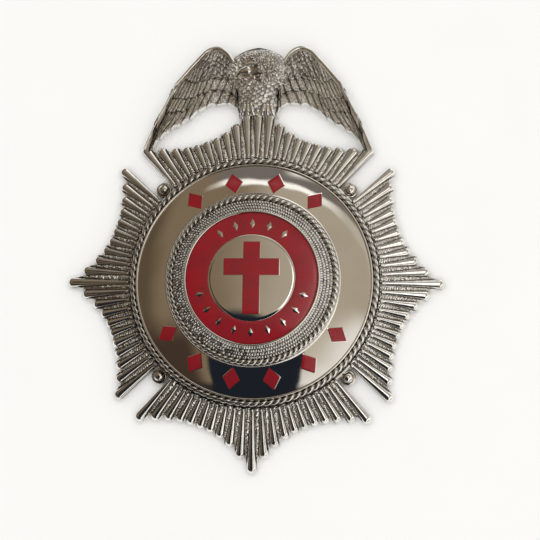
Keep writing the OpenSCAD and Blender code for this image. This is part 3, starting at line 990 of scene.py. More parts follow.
@dataclass
class Panel:
    """The domed panel with its ropes, its plain rings and its beaded band."""

    workshop: Workshop
    dome: Dome
    seed: int = 5
    root_r: float = 22.05
    skirt_r: float = 22.35
    skirt_h: float = 1.6
    hollow_r: float = 20.0
    wall: float = 1.5
    rope_r: float = 21.42
    rope_w: float = 0.94
    rope_twists: int = 106
    ring_r: float = 20.66
    ring_w: float = 0.46
    line_r: float = 15.12
    line_w: float = 0.22
    ring_rise: float = 0.34
    line_rise: float = 0.14
    edge_drop: float = 0.9
    edge_step: float = 0.3
    skirt_step: float = 0.1
    back: float = 0.03
    bed_r: float = 20.88
    bed_drop: float = 0.42
    bed_fall: float = 0.45
    bed_grain: float = 0.05
    bed_depth: float = 1.0
    strand_w: float = 0.62
    strand_swell: float = 0.46
    rope_lift: float = 0.08
    inner_rope_r: float = 14.45
    inner_rope_w: float = 1.02
    inner_rope_twists: int = 84
    bead_outer_r: float = 14.0
    bead_rows: int = 4
    beads_round: int = 176
    bead_h: float = 0.28
    bead_sizes: tuple[float, float] = (0.35, 1.5)
    band_top: float = 0.95
    band_foot: float = 0.22
    band_depth: float = 0.3
    band_tuck: float = 0.1
    turns: int = 320

    def half_round(self, radius: float, width: float, rise: float, steps: int) -> Array:
        """Profile of a half-round ring on the dome, from its inner edge to its outer edge.

        Args:
            radius: Radius of the ring's middle.
            width: Width of its foot.
            rise: Height over the dome.
            steps: Points of the profile.

        Returns:
            Radius and height of each point.
        """
        turn = np.linspace(np.pi, 0, steps)
        out = radius + np.cos(turn) * width / 2
        return np.stack([out, self.dome.z(radius) + np.sin(turn) * rise], axis=1)

    def face(self, low: float, high: float, steps: int, depth: float = 0.0) -> Array:
        """Profile of the dome's face, or of its inside, from one radius to another."""
        radius = np.linspace(low, high, steps)
        return np.stack([radius, self.dome.z(radius, depth)], axis=1)

    def shell(self) -> Shape:
        """The panel, turned from its face, its rings, its outer edge and its hollow back.

        Its outer edge drops under the rope and the roots of the rays, then steps out to a skirt that the
        fans and the studs stand in.

        Returns:
            The panel's shape.
        """
        edge_z = float(self.dome.z(self.root_r)) - self.edge_drop
        edge = [[self.bed_r, edge_z + self.edge_step], [self.root_r, edge_z],
                [self.root_r, self.skirt_h + self.skirt_step], [self.skirt_r, self.skirt_h],
                [self.skirt_r, self.back], [self.hollow_r, self.back]]
        profile = [
            self.face(0.0, self.line_r - self.line_w, 8),
            self.half_round(self.line_r, self.line_w, self.line_rise, 9),
            self.face(self.line_r + self.line_w * 0.6, self.ring_r - self.ring_w * 0.55, 30),
            self.half_round(self.ring_r, self.ring_w, self.ring_rise, 13),
            edge,
            self.face(self.hollow_r, 0.0, 10, self.wall),
        ]
        return turned(np.concatenate(profile), self.turns)

    def rope_bed(self, rng: np.random.Generator) -> Shape:
        """Sunk ring under the outer rope, rough as cast, that falls to the roots of the rays, all of it
        in painted shade.

        Args:
            rng: Source of its grain.

        Returns:
            The ring.
        """
        turns, steps = 720, 7
        share = np.linspace(0, 1, steps)[None, :]
        around = (np.arange(turns) * 2 * np.pi / turns)[:, None]
        top_r = self.bed_r + (self.root_r - self.bed_r) * share * np.ones_like(around)
        fall = self.bed_drop + self.bed_fall * smooth_step(share, 0.5, 1.0)
        top_z = self.dome.z(top_r) - fall + speckle(rng, turns, steps) * self.bed_grain
        low = self.dome.z(top_r[:, [-1, 0]]) - self.bed_depth
        radius = np.concatenate([top_r, top_r[:, [-1, 0]]], axis=1)
        height = np.concatenate([top_z, low], axis=1)
        # Painted shade over the whole ring, and grit that roughens it
        return hoop(polar(radius, around, height), recess=np.ones_like(radius), grit=np.ones_like(radius))

    def rope(self, radius: float, width: float, twists: int) -> Shape:
        """Two-strand twisted rope on the dome.

        Its section's radius swells and shrinks with the absolute cosine of half of (twice the angle round
        the section plus the number of twists times the angle round the ring).

        Args:
            radius: Radius of the ring that it follows.
            width: Its width.
            twists: Strands that pass its top on the way round.

        Returns:
            The rope.
        """
        around = (np.arange(twists * 9) * 2 * np.pi / (twists * 9))[:, None]
        section = (np.arange(14) * 2 * np.pi / 14)[None, :]
        strand = np.abs(np.cos((2 * section + twists * around) / 2))
        size = width / 2 * (self.strand_w + self.strand_swell * strand**0.7)
        out = radius + size * np.cos(section)
        height = self.dome.z(radius) + self.rope_lift + size * np.sin(section)
        # Painted shade in the hollows between the strands
        recess = np.clip(1.2 - 1.35 * strand, 0, 1)
        return hoop(polar(out, around, height), recess=recess, grit=np.zeros_like(recess))

    def beads(self, rng: np.random.Generator) -> Shape:
        """Band of small pyramids that slopes from the seal down to the inner rope.

        A pyramid's height is one less the larger of its two distances from its middle, each taken as a
        share of half the pyramid, and every second row is moved by half a pyramid.

        Args:
            rng: Source of the pyramids' own sizes.

        Returns:
            The band.
        """
        steps = 6
        turns = self.beads_round * steps
        rows = self.bead_rows * steps
        inner = self.workshop.site.seal_r - self.band_tuck
        around = np.arange(turns)[:, None] / steps
        down = np.linspace(0, self.bead_rows, rows + 1)[None, :]
        row = np.minimum(np.floor(down), self.bead_rows - 1)
        beside = np.abs(2 * fraction(around + 0.5 * (row % 2)) - 1)
        beyond = np.abs(2 * fraction(down) - 1)
        pyramid = 1 - np.maximum(beside, beyond)
        own = rng.uniform(*self.bead_sizes, (self.beads_round + 1, self.bead_rows))
        which = np.floor(around + 0.5 * (row % 2)).astype(int)
        pyramid *= own[which, row.astype(int)]
        share = down / self.bead_rows * np.ones_like(around)
        radius = inner + (self.bead_outer_r - inner) * share
        slope = self.band_top + (self.band_foot - self.band_top) * share**0.8
        height = self.dome.z(radius) + slope + pyramid * self.bead_h
        bottom = self.dome.z(radius[:, [-1, 0]]) - self.band_depth
        radius = np.concatenate([radius, radius[:, [-1, 0]]], axis=1)
        height = np.concatenate([height, bottom], axis=1)
        angle = around * 2 * np.pi / self.beads_round
        # Painted shade between the pyramids
        recess = np.clip(0.9 - 2.2 * np.pad(pyramid, ((0, 0), (0, 2))), 0, 1)
        return hoop(polar(radius, angle, height), recess=recess, grit=np.full_like(recess, 0.1))

    def build(self) -> None:
        """Makes the panel, its ropes and its beaded band."""
        rng = np.random.default_rng(self.seed)
        part = self.workshop.shell_part
        part("domed_panel", self.shell(), Finish.POLISHED)
        part("outer_rope", self.rope(self.rope_r, self.rope_w, self.rope_twists))
        part("inner_rope", self.rope(self.inner_rope_r, self.inner_rope_w, self.inner_rope_twists))
        part("rope_bed", self.rope_bed(rng))
        part("beaded_band", self.beads(rng))


@dataclass
class Inlays:
    """The ten red lozenges of the panel, each in a thin bright frame."""

    workshop: Workshop
    dome: Dome
    circle_r: float = 17.51
    length: float = 3.8
    width: float = 3.0
    upper_pitch: float = 24.5
    lower_pitch: float = 23.0
    enamel_lift: float = 0.09
    enamel_fall: float = 0.035
    frame_w: float = 0.16
    frame_lift: float = 0.055
    frame_fall: float = 0.05
    depth: float = 0.3

    def angle(self, i: int) -> float:
        """Angle of lozenge i, clockwise from the top: four above, then six below."""
        return (i - 2.5) * self.upper_pitch if i <= 4 else 180 + (i - 7.5) * self.lower_pitch

    def lozenge(self, i: int, margin: float, lift: float, edge: float) -> Shape:
        """Lozenge that follows the dome.

        Its face falls by the edge's height with the eighth power of how near a point is to its sides.

        Args:
            i: Number of the lozenge.
            margin: How much it is larger than the enamel, on every side.
            lift: Height of its face above the panel.
            edge: How much its face falls towards its sides.

        Returns:
            The lozenge's shape.
        """
        half_h, half_w = self.length / 2 + margin, self.width / 2 + margin
        x, y, out = diamond(17, self.circle_r, half_h, half_w, self.angle(i))
        z = self.dome.z(np.hypot(x, y)) + lift - edge * out**8
        return slab(np.stack([x, y, z], axis=-1), self.depth)

    def build(self) -> None:
        """Makes the lozenges and one piece of all their frames."""
        for i in range(1, 11):
            enamel = self.lozenge(i, 0.0, self.enamel_lift, self.enamel_fall)
            self.workshop.make(f"panel_lozenge_{i}", enamel, Finish.ENAMEL, "red_enamel",
                               [f"panel_inlay_{i}"])
        frames = [self.lozenge(i, self.frame_w, self.frame_lift, self.frame_fall) for i in range(1, 11)]
        self.workshop.shell_part("lozenge_frames", joined(frames), Finish.POLISHED)


@dataclass
class Seal:
    """The round seal: a polished disc with an enamel ring, silver lozenges in it, and a red cross."""

    workshop: Workshop
    panel_dome: Dome
    crown: float = 0.8
    rim_w: float = 0.42
    rim_h: float = 0.22
    ring_outer_r: float = 11.42
    ring_inner_r: float = 7.6
    enamel_depth: float = 0.35
    cross_h: float = 12.6
    cross_w: float = 9.6
    bar_w: float = 2.9
    arm_y: float = 1.9
    cross_lift: float = 0.07
    cross_fall: float = 0.03
    border_w: float = 0.12
    border_lift: float = 0.035
    pip_h: float = 1.7
    pip_w: float = 0.9
    pip_lift: float = 0.01
    pip_roof: float = 0.08
    pip_depth: float = 0.3
    pip_angles: tuple[int, ...] = (*range(-36, 37, 18), *range(108, 253, 18))
    ring_gap: float = 0.02
    ring_sag: float = 0.05
    lip_w: float = 0.06
    lip_h: float = 0.02
    wall_in: float = 0.01
    under_lift: float = 0.03
    cross_round: float = 0.07
    cross_shallow: float = 0.05
    turns: int = 320

    def __post_init__(self) -> None:
        """Works out the sphere of the seal's face from its radius and its crown."""
        seal_r = self.workshop.site.seal_r
        sphere_r = (seal_r**2 + self.crown**2) / (2 * self.crown)
        self.face = Dome(sphere_r, self.workshop.site.seal_top - sphere_r)

    def disc(self) -> Shape:
        """The seal's metal, turned from its polished middle, its channel, its rim and its underside.

        Returns:
            The disc.
        """
        seal_r = self.workshop.site.seal_r
        middle = np.linspace(0, self.ring_inner_r - self.lip_w, 16)
        channel = np.linspace(self.ring_inner_r + self.ring_gap, self.ring_outer_r, 12)
        turn = np.linspace(np.pi, 0, 12)
        rim_r = seal_r - self.rim_w / 2
        rim_z = self.face.z(rim_r) + np.sin(turn) * self.rim_h
        rim = np.stack([rim_r + np.cos(turn) * self.rim_w / 2, rim_z], axis=1)
        under = np.linspace(seal_r, 0, 8)
        profile = [
            np.stack([middle, self.face.z(middle) + self.lip_h], axis=1),
            [[self.ring_inner_r - self.wall_in, float(self.face.z(self.ring_inner_r)) - self.lip_h]],
            np.stack([channel, self.face.z(channel) - self.enamel_depth], axis=1),
            rim,
            np.stack([under, self.panel_dome.z(under) + self.under_lift], axis=1),
        ]
        return turned(np.concatenate(profile), self.turns)

    def enamel_ring(self) -> Shape:
        """The red ring, whose face sinks a little at both edges as enamel does.

        The sag is the tenth power of how far a point lies from the ring's middle line.

        Returns:
            The ring.
        """
        share = np.linspace(0, 1, 22)
        radius = self.ring_inner_r + (self.ring_outer_r - self.ring_inner_r) * share
        sag = self.ring_sag * np.abs(2 * share - 1) ** 10
        top = np.stack([radius, self.face.z(radius) - sag], axis=1)
        low = top[::-1] - [0, self.enamel_depth - self.ring_gap]
        out, height = np.concatenate([top, low]).T
        angle = (np.arange(self.turns) * 2 * np.pi / self.turns)[:, None]
        return hoop(polar(out, angle, height))

    def pip(self, angle: float) -> Shape:
        """Silver lozenge that stands through the enamel ring, with a low roof towards its middle.

        Args:
            angle: Its place, in degrees clockwise from the top.

        Returns:
            The lozenge.
        """
        middle_r = (self.ring_inner_r + self.ring_outer_r) / 2
        x, y, out = diamond(9, middle_r, self.pip_h / 2, self.pip_w / 2, angle)
        z = self.face.z(np.hypot(x, y)) + self.pip_lift + self.pip_roof * (1 - out)
        return slab(np.stack([x, y, z], axis=-1), self.pip_depth)

    def cross(self, margin: float, lift: float, edge: float) -> Shape:
        """The cross as a grid over its box, of which only the cells on its bars are kept.

        Args:
            margin: How much it is larger than the enamel, on every side.
            lift: Height of its face above the seal's.
            edge: How much its face falls at its sides.

        Returns:
            The cross's shape.
        """
        bar, arm, tall = self.bar_w / 2 + margin, self.cross_w / 2 + margin, self.cross_h / 2 + margin
        low, high = self.arm_y - bar, self.arm_y + bar
        x_line = self.line([-arm, -bar, bar, arm])
        y_line = self.line([-tall, low, high, tall])
        x, y = np.meshgrid(x_line, y_line)
        mid_x, mid_y = (x_line[:-1] + x_line[1:]) / 2, (y_line[:-1] + y_line[1:]) / 2
        keep = (np.abs(mid_x)[None, :] < bar) | ((mid_y > low) & (mid_y < high))[:, None]
        upright = np.minimum(bar - np.abs(x), tall - np.abs(y))
        arms = np.minimum(np.minimum(y - low, high - y), arm - np.abs(x))
        inside = np.clip(np.maximum(upright, arms), 0, None)
        z = self.face.z(np.hypot(x, y)) + lift - edge * np.exp(-inside / self.cross_round)
        return kept_slab(np.stack([x, y, z], axis=-1), keep, self.enamel_depth - self.cross_shallow)

    def line(self, corners: list[float]) -> Array:
        """Places along one side of the cross's grid, close together at each corner.

        Args:
            corners: Where the outline of the cross turns.

        Returns:
            The places.
        """
        parts = []
        for low, high in zip(corners[:-1], corners[1:]):
            turn = np.linspace(0, np.pi, 18)
            parts.append(low + (high - low) * (1 - np.cos(turn)) / 2)
        return np.unique(np.concatenate(parts).round(6))

    def build(self) -> None:
        """Makes the seal's pieces."""
        make = self.workshop.make
        make("seal_disc", self.disc(), Finish.POLISHED, "seal_metal", ["center_seal"])
        make("seal_enamel", self.enamel_ring(), Finish.ENAMEL, "red_enamel", ["seal_enamel_ring"])
        pips = joined([self.pip(angle) for angle in self.pip_angles])
        make("seal_pips", pips, Finish.POLISHED, "seal_metal", ["center_seal"])
        border = self.cross(self.border_w, self.border_lift, self.cross_fall)
        make("cross_border", border, Finish.POLISHED, "seal_metal", ["center_seal"])
        cross = self.cross(0.0, self.cross_lift, self.cross_fall)
        make("cross_enamel", cross, Finish.ENAMEL, "red_enamel", ["seal_cross"])


@dataclass(frozen=True)
class FeatherRow:
    """One row of feathers on a wing.

    Its rear edge lies at the share v of the wing's depth near the body, and bends to the front edge at
    the place u_end along the wing, with the power bend. A row that starts further out grows from nothing.
    """

    v: float
    u_start: float
    u_end: float
    bend: float
    count: int
    level: float
    barrel: float
    streak: float

    def edge(self, u: Array) -> Array:
        """Share of the wing's depth where the row ends, at a place along the wing."""
        return self.v * (1 - np.clip(u / self.u_end, 0, 1) ** self.bend)


@dataclass
class Eagle:
    """The eagle with spread wings, its head turned to its right.

    The tables front and rear hold points of a wing's edges, as shares of half the span and of
    the wing's height. The feather rows run from the front edge to the rear.
    """

    workshop: Workshop
    seed: int = 11
    wing_span: float = 41.2
    wing_h: float = 19.2
    wing_t: float = 1.7
    rim_rise: float = 0.42
    wing_back: float = 0.02
    wing_columns: int = 401
    wing_rows: int = 151
    wing_grain: float = 0.055
    rim_ends: tuple[float, ...] = (0.69, 0.85, 1.02)
    rim_widths: tuple[float, ...] = (0.74, 0.52, 0.42)
    rim_reach: float = 0.9
    rim_base: float = 0.95
    rim_fall: float = 0.3
    nub_h: float = 0.3
    nub_step: float = 0.16
    lean: float = 0.12
    tip_lean: float = 0.42
    primaries: int = 9
    scallop: float = 0.30
    feather_bow: float = 0.020
    feather_lift: float = 0.04
    feather_tilt: float = 0.12
    feather_slope: float = 0.08
    feather_bead: float = 0.30
    bead_in: float = 0.20
    bead_w: float = 0.17
    barbs_per_mm: float = 1.35
    barb_slant: float = 1.4
    pebble_h: float = 0.52
    pebble_sink: float = 0.1
    pebbles_along: float = 30.0
    pebble_row: float = 0.85
    scale_table: int = 61
    rear_rim: float = 0.22
    tip_settle: float = 0.25
    ruff_r: float = 6.8
    ruff_drop: float = 0.3
    foot_y: float = 29.8
    foot_x: float = 1.75
    claw_y: float = 30.5
    toe_pitch: float = 0.55
    toe_spread: float = 0.5
    waist_w: float = 3.6
    waist_fall: float = 4.6
    neck_up: float = 2.6
    body_back: float = 0.04
    body_edge: float = 1.75
    body_low: float = 1.2
    body_grain: float = 0.05
    foot_fall: float = 1.1
    breast_rise: float = 1.75
    breast_lean: float = 38.0
    feather_h: float = 0.56
    hood_scales: float = 44.0
    crown_scales: float = 36.0
    head_rows: float = 6.4
    breast_scales: tuple[float, float] = (1.35, 1.15)
    crest_fall: float = 2.4
    skull_low: float = 2.75
    skull_rise: float = 1.6
    crown_h: float = 0.42
    skull: tuple[float, float] = (0.7, 38.35)
    skull_r: tuple[float, float] = (4.2, 3.35)
    rows: tuple[FeatherRow, ...] = (
        FeatherRow(0.56, -0.2, 0.58, 4.3, 22, 0.98, 0.07, 0.030),
        FeatherRow(0.76, -0.2, 0.75, 3.5, 21, 0.74, 0.12, 0.040),
        FeatherRow(0.88, 0.36, 0.86, 4.0, 20, 0.50, 0.12, 0.040),
        FeatherRow(1.10, -0.2, 9.00, 1.0, 18, 0.24, 0.13, 0.050),
    )

    front: tuple[tuple[float, float], ...] = (
        (0.215, 0.875), (0.27, 0.955), (0.355, 1.0), (0.451, 0.974), (0.54, 0.88),
        (0.633, 0.766), (0.723, 0.641), (0.80, 0.474), (0.893, 0.276), (0.99, 0.03),
    )
    rear: tuple[tuple[float, float], ...] = (
        (0.165, 0.36), (0.20, 0.43), (0.30, 0.455), (0.41, 0.445), (0.50, 0.40),
        (0.58, 0.33), (0.66, 0.27), (0.76, 0.21), (0.86, 0.12), (0.93, 0.0),
    )

    def bend(self, table: tuple[tuple[float, float], ...], u: Array) -> Array:
        """Catmull-Rom curve through a table of shares of half the span and of the wing's height.

        Args:
            table: The points.
            u: Places from 0 to 1 along the whole table.

        Returns:
            The points on the curve, in millimetres from the middle of the sunburst.
        """
        points = np.array(table)
        last = len(points) - 1
        k = np.clip(np.floor(u * last).astype(int), 0, last - 1)
        t = (u * last - k)[..., None]
        a, b, c, d = (points[np.clip(k + step, 0, last)] for step in (-1, 0, 1, 2))
        share = (b + (c - a) * t / 2 + (a * 2 - b * 5 + c * 4 - d) * t**2 / 2
                 + (b * 3 - a - c * 3 + d) * t**3 / 2)
        low = [0.0, self.workshop.site.wing_top_r - self.wing_h]
        return share * [self.wing_span / 2, self.wing_h] + low

    def rim(self, u: Array, gap: Array) -> tuple[Array, Array]:
        """Smooth raised rim along the front edge, in lengths that each end in a small nub.

        Args:
            u: Place along the wing.
            gap: Distance from the front edge.

        Returns:
            The rim's height, nought beyond it, and how far the front edge steps back after a nub.
        """
        starts = (-0.2, *self.rim_ends[:-1])
        height = np.zeros(np.broadcast(u, gap).shape)
        notch = np.zeros_like(u)
        for start, end, width in zip(starts, self.rim_ends, self.rim_widths):
            here = (u >= start) & (u < end)
            share = (u - start) / (end - start)
            own = width * (1 - 0.3 * np.clip(share, 0, 1) ** 6)
            round_top = np.sqrt(np.clip(1 - ((gap - own / 2) / (own / 2)) ** 2, 0, 1))
            nub = self.nub_h * np.exp(-(((share - 0.97) / 0.025) ** 2)) * (gap < self.rim_reach)
            height = np.where(here, self.rim_rise * round_top + nub, height)
            if start > 0:
                notch = np.where(here, self.nub_step * (1 - smooth_step(share, 0.0, 0.35)), notch)
        return height, notch

    def wing(self, side: int, rng: np.random.Generator) -> Shape:
        """One wing as a relief between its front and rear edges.

        The place u runs along the wing and the place v from its front edge to its rear edge. Each row of
        feathers is a row of low barrels on its own level, which drops to the next row at round ends with
        a bead on each. Fine ridges run along the feathers, and small scales cover the shoulder.

        Args:
            side: 1 for the wing on the right, -1 for the one on the left.
            rng: Source of the feathers' small differences.

        Returns:
            The wing's shape.
        """
        u = np.linspace(0, 1, self.wing_columns)[None, :]
        v = np.linspace(0, 1, self.wing_rows)[:, None]
        front = self.bend(self.front, u[0])
        rear = self.bend(self.rear, 1 - (1 - u[0]) ** 1.6)
        depth = np.linalg.norm(rear - front, axis=1)[None, :]
        gap = v * depth
        wave = fraction(self.primaries * u) ** 1.7
        reach = 1 - self.scallop * (1 - np.sin(np.pi * wave)) / np.maximum(depth, 2.0)
        along_front = np.gradient(front, axis=0)
        along_front /= np.linalg.norm(along_front, axis=1, keepdims=True)
        to_rear = (rear - front) / depth.T
        square = np.abs(along_front[:, 0] * to_rear[:, 1] - along_front[:, 1] * to_rear[:, 0])[None, :]
        gap = gap * np.clip(square, 0.25, 1)
        rim, notch = self.rim(u, gap)
        along_depth = v * reach + (1 - v) * notch / np.maximum(depth, 1.0)
        plan = front[None] + (rear - front)[None] * along_depth[..., None]

        slant = u - (self.lean + self.tip_lean * u**2) * v
        height = np.zeros(np.broadcast(u, v).shape)
        recess = np.zeros_like(height)
        start = np.zeros_like(u)
        done = np.zeros(height.shape, bool)
        for row in self.rows:
            phase = row.count * slant
            which = np.floor(phase).astype(int) % row.count
            side_share = 2 * fraction(phase) - 1
            grown = smooth_step(u, row.u_start, row.u_start + 0.1)
            line = start + (row.edge(u) - start) * grown
            end = line + self.feather_bow * (1 - side_share**2) * grown
            here = (v < end) & ~done
            along = np.clip((v - start) / np.maximum(line - start, 0.02), 0, 1)
            lift = rng.uniform(-self.feather_lift, self.feather_lift, row.count)[which]
            tilt = rng.uniform(-self.feather_tilt, self.feather_tilt, row.count)[which]
            own = rng.uniform(0, 1, row.count)[which]
            slanted = gap * self.barbs_per_mm + self.barb_slant * side_share * side
            barbs = np.cos(2 * np.pi * (slanted + own))
            ridges = row.streak * (np.cos(6 * np.pi * side_share) + 1.1 * barbs)
            to_end = (end - v) * depth
            bead = self.feather_bead * np.exp(-((to_end - self.bead_in) / self.bead_w) ** 2) * (row.v < 1)
            bead = bead * np.exp(-((side_share / 0.42) ** 2))
            barrel = row.barrel * (1 - side_share**2) ** 0.8
            form = row.level + barrel + self.feather_slope * along + lift + tilt * side_share
            form = form + ridges + bead
            height = np.where(here, form, height)
            # Painted shade in the grooves between feathers, and a painted shadow just below where each
            # row ends
            groove = np.clip(np.abs(side_share) * 2.6 - 1.7, 0.0, 0.8)
            under = np.exp(-(((v - start) * depth / 0.26) ** 2)) * (start > 0)
            under = under * (np.abs(side_share) > 0.3)
            recess = np.where(here, np.maximum(groove, under * 1.2), recess)
            done |= here
            start = np.maximum(start, line)

        lift = rng.uniform(0.7, 1.3, (self.scale_table, self.scale_table))
        shoulder = (1 - smooth_step(u, 0.34, 0.52)) * smooth_step(gap, 0.8, 1.3)
        shoulder = shoulder * (v < self.rows[0].edge(u))
        pebbles = scales(slant * self.pebbles_along, gap / self.pebble_row, lift)
        height += (pebbles * self.pebble_h - self.pebble_sink) * shoulder
        # Painted shade between the shoulder's scales
        recess = np.maximum(recess, np.clip(1.05 - 1.5 * pebbles, 0, 1) * shoulder)
        grain = speckle(rng, *height.shape) * self.wing_grain
        on_rim = (rim > 0) & (gap < self.rim_reach)
        height = np.where(on_rim, self.rim_base - self.rim_fall * u + rim, height + grain)
        tail = (1 - v) * reach * depth
        rear_rim = self.rear_rim * np.exp(-(((tail - 0.2) / 0.16) ** 2)) * smooth_step(u, 0.2, 0.4)
        height = height * smooth_step(tail, -0.12, 0.1) + rear_rim
        settle = 1 - self.tip_settle * smooth_step(u, 0.8, 1.0)
        # Painted shade in a dark line just behind the front rim; the rim itself stays clear of it
        behind_rim = np.exp(-(((gap - 0.85) / 0.16) ** 2)) * 0.9
        recess = np.where(on_rim, 0.0, np.maximum(recess, behind_rim))
        z = self.wing_t + height * settle
        top = np.stack([plan[..., 0] * side, plan[..., 1], z], axis=-1)
        return relief(top, self.wing_back, recess=recess * 0.95, grit=np.where(on_rim, 0.0, 0.08))

    def body(self, rng: np.random.Generator) -> Shape:
        """Hood, head and breast as one relief over a round-topped shield.

        Its half width follows the hood's circle at its top, and narrows to the feet below. The height is
        a low dome across, the head's ellipsoid, and feathers of different sizes on both.

        Args:
            rng: Source of the feathers' small differences.

        Returns:
            The body's shape.
        """
        top_y = self.workshop.site.wing_top_r - self.ruff_drop
        middle_y = top_y - self.ruff_r
        neck_y = middle_y + self.neck_up
        neck_turn = math.acos(self.neck_up / self.ruff_r)
        upper = middle_y + self.ruff_r * np.cos(np.linspace(0.06, neck_turn, 80))
        lower = np.linspace(neck_y, self.foot_y, 121)[1:]
        y = np.concatenate([upper, lower])[None, :]
        neck_w = math.sqrt(self.ruff_r**2 - self.neck_up**2)
        waist = neck_w - (neck_w - self.waist_w) * smooth_step(neck_y - y, 0.0, self.waist_fall)
        circle = np.sqrt(np.clip(self.ruff_r**2 - (y - middle_y) ** 2, 0.01, None))
        width = np.where(y > neck_y, circle, waist)
        across = np.sin(np.linspace(-np.pi / 2, np.pi / 2, 165))[:, None]
        x = across * width
        lift = rng.uniform(0.55, 1.35, (self.scale_table, self.scale_table))

        dx, dy = x - self.skull[0], y - self.skull[1]
        away = np.hypot(dx / self.skull_r[0], dy / self.skull_r[1])
        ring = np.arctan2(dx, dy) / (2 * np.pi)
        dome = np.sqrt(np.clip(1 - across**2, 0, 1))
        crest = smooth_step(top_y - y, 0.0, self.crest_fall)
        base = self.body_edge + self.breast_rise * dome**0.9 * (0.42 + 0.58 * crest)
        turn = math.radians(self.breast_lean)
        lean_x = x * math.cos(turn) - y * math.sin(turn)
        lean_y = x * math.sin(turn) + y * math.cos(turn)
        hood = scales(ring * self.hood_scales, away * self.head_rows, lift)
        breast = scales(lean_x * self.breast_scales[0], -lean_y * self.breast_scales[1], lift)
        on_breast = smooth_step(middle_y + 0.6 - y, -0.6, 1.2)
        feathers = hood * (1 - on_breast) + breast * on_breast
        rim_in = self.ruff_r - np.hypot(x, y - middle_y)
        smooth_rim = np.where(y > neck_y, 1 - smooth_step(rim_in, 0.35, 0.6), 0)
        skull = self.skull_low + self.skull_rise * np.sqrt(np.clip(1 - away**2, 0, 1))
        behind_face = smooth_step(dx + 0.35 * dy, -2.2, -0.6)
        crown = self.crown_h * scales(ring * self.crown_scales, away * self.head_rows, lift)
        crown = crown * behind_face
        socket = 0.42 * np.exp(-(((dx + 1.5) / 0.62) ** 2) - ((dy - 0.25) / 0.40) ** 2)
        socket = socket + 0.30 * np.exp(-(((dx + 1.6) / 1.5) ** 2) - ((dy + 1.35) / 0.16) ** 2)
        lump = base + self.feather_h * feathers * (1 - smooth_rim)
        face = skull + crown - socket
        grain = speckle(rng, *lump.shape) * self.body_grain
        height = np.maximum(lump, np.where(away < 1, face, 0)) + grain
        edge = smooth_step(1 - np.abs(across), 0.0, 0.05)
        height = self.body_low + (height - self.body_low) * (0.35 + 0.65 * edge)
        height = height - self.foot_fall * (1 - smooth_step(y - self.foot_y, 0.2, 2.6))
        on_face = (away < 1) & (face > lump)
        # Painted shade between the crown's scales, in the eye socket and between the feathers, and a
        # painted dark band on the hood's smooth rim
        face_shade = np.clip(1.1 - 3.6 * crown, 0, 1) * behind_face + 2.6 * socket
        lump_shade = np.maximum(np.clip(1.1 - 1.6 * feathers, 0, 1) * (1 - smooth_rim), 0.6 * smooth_rim)
        recess = np.where(on_face, face_shade, lump_shade)
        top = np.stack([x, y * np.ones_like(x), height], axis=-1)
        return relief(top, self.body_back, recess=np.clip(recess, 0, 1), grit=np.full_like(recess, 0.05))

    def bar(self, start: tuple[float, float], x: Array, y: Array, z: Array, radii: Array,
            sides: int) -> Shape:
        """Round bar whose path is counted from a place in plan."""
        return swept(np.stack([start[0] + x, start[1] + y, z], axis=1), radii, sides)

    def beak(self) -> Shape:
        """Hooked upper beak, a tapering bar along a curve that turns down at its end.

        Returns:
            The beak.
        """
        t = np.linspace(0, 1, 22)
        y = -0.55 - 0.35 * t - 1.15 * t**4
        z = 3.75 - 0.1 * t - 0.5 * t**3
        return self.bar(self.skull, -2.3 - 2.5 * t, y, z, 0.78 * (1 - t**1.8) + 0.10, 14)

    def jaw(self) -> Shape:
        """Short lower beak, a straight tapering bar."""
        t = np.linspace(0, 1, 14)
        return self.bar(self.skull, -1.2 - 2.3 * t, -1.85 + 0.12 * t, 3.75 - 0.35 * t,
                        0.36 * (1 - t**1.5) + 0.08, 12)

    def brow(self) -> Shape:
        """Brow over the eye, a short bent bar.

        Returns:
            The brow.
        """
        t = np.linspace(0, 1, 16)
        y = 0.30 + 0.85 * t - 0.55 * t**2
        z = 4.0 + 0.28 * np.sin(np.pi * t * 0.7)
        return self.bar(self.skull, -2.9 + 2.7 * t, y, z, 0.10 + 0.22 * np.sin(np.pi * t**0.8), 10)

    def eye(self) -> Shape:
        """Small round eye under the brow, a ball turned from half a circle.

        Returns:
            The eye.
        """
        turn = np.linspace(0, np.pi, 11)
        ball = turned(np.stack([0.34 * np.sin(turn), 0.34 * np.cos(turn)], axis=1), 18)
        return Shape(ball.points + [self.skull[0] - 1.6, self.skull[1] + 0.2, 3.88], ball.faces)

    def toe(self, x: float, spread: float) -> Shape:
        """One toe that leaves the foot, arches over the rays and ends in a claw.

        Args:
            x: Where it leaves the foot.
            spread: How far its claw stands to the side of that.

        Returns:
            The toe.
        """
        t = np.linspace(0, 1, 14)
        z = 2.5 + 0.75 * np.sin(np.pi * (0.25 + 0.7 * t))
        radii = 0.46 * (1 - 0.45 * t**2) + 0.06 * np.sin(t * np.pi * 5)
        return self.bar((x, self.claw_y), spread * t, 1.1 - 1.75 * t, z, radii, 12)

    def build(self) -> None:
        """Makes the wings, the body and the small parts of the head and the feet."""
        rng = np.random.default_rng(self.seed)
        part = self.workshop.shell_part
        part("wing_right", self.wing(1, rng))
        part("wing_left", self.wing(-1, rng))
        part("eagle_body", self.body(rng))
        part("eagle_face", joined([self.beak(), self.jaw(), self.brow(), self.eye()]))
        toes = [self.toe(side * self.foot_x + k * self.toe_pitch, k * self.toe_spread)
                for side in (-1, 1) for k in (-1, 0, 1)]
        part("eagle_claws", joined(toes))


@dataclass(frozen=True)
class Ramp:
    """Share that goes smoothly from 0 to 1 while a measure of the ceiling goes from low to high.

    Studio.measures names the measures. With another ramp it is the larger share of the two.
    """

    measure: str
    low: float
    high: float
    other: "Ramp | None" = None


@dataclass(frozen=True)
class Patch:
    """Colour that covers the ceiling by the product of its ramps, varied by patches of its own."""

    colour: Colour
    ramps: tuple[Ramp, ...]
    shades: tuple["Patch", ...] = ()


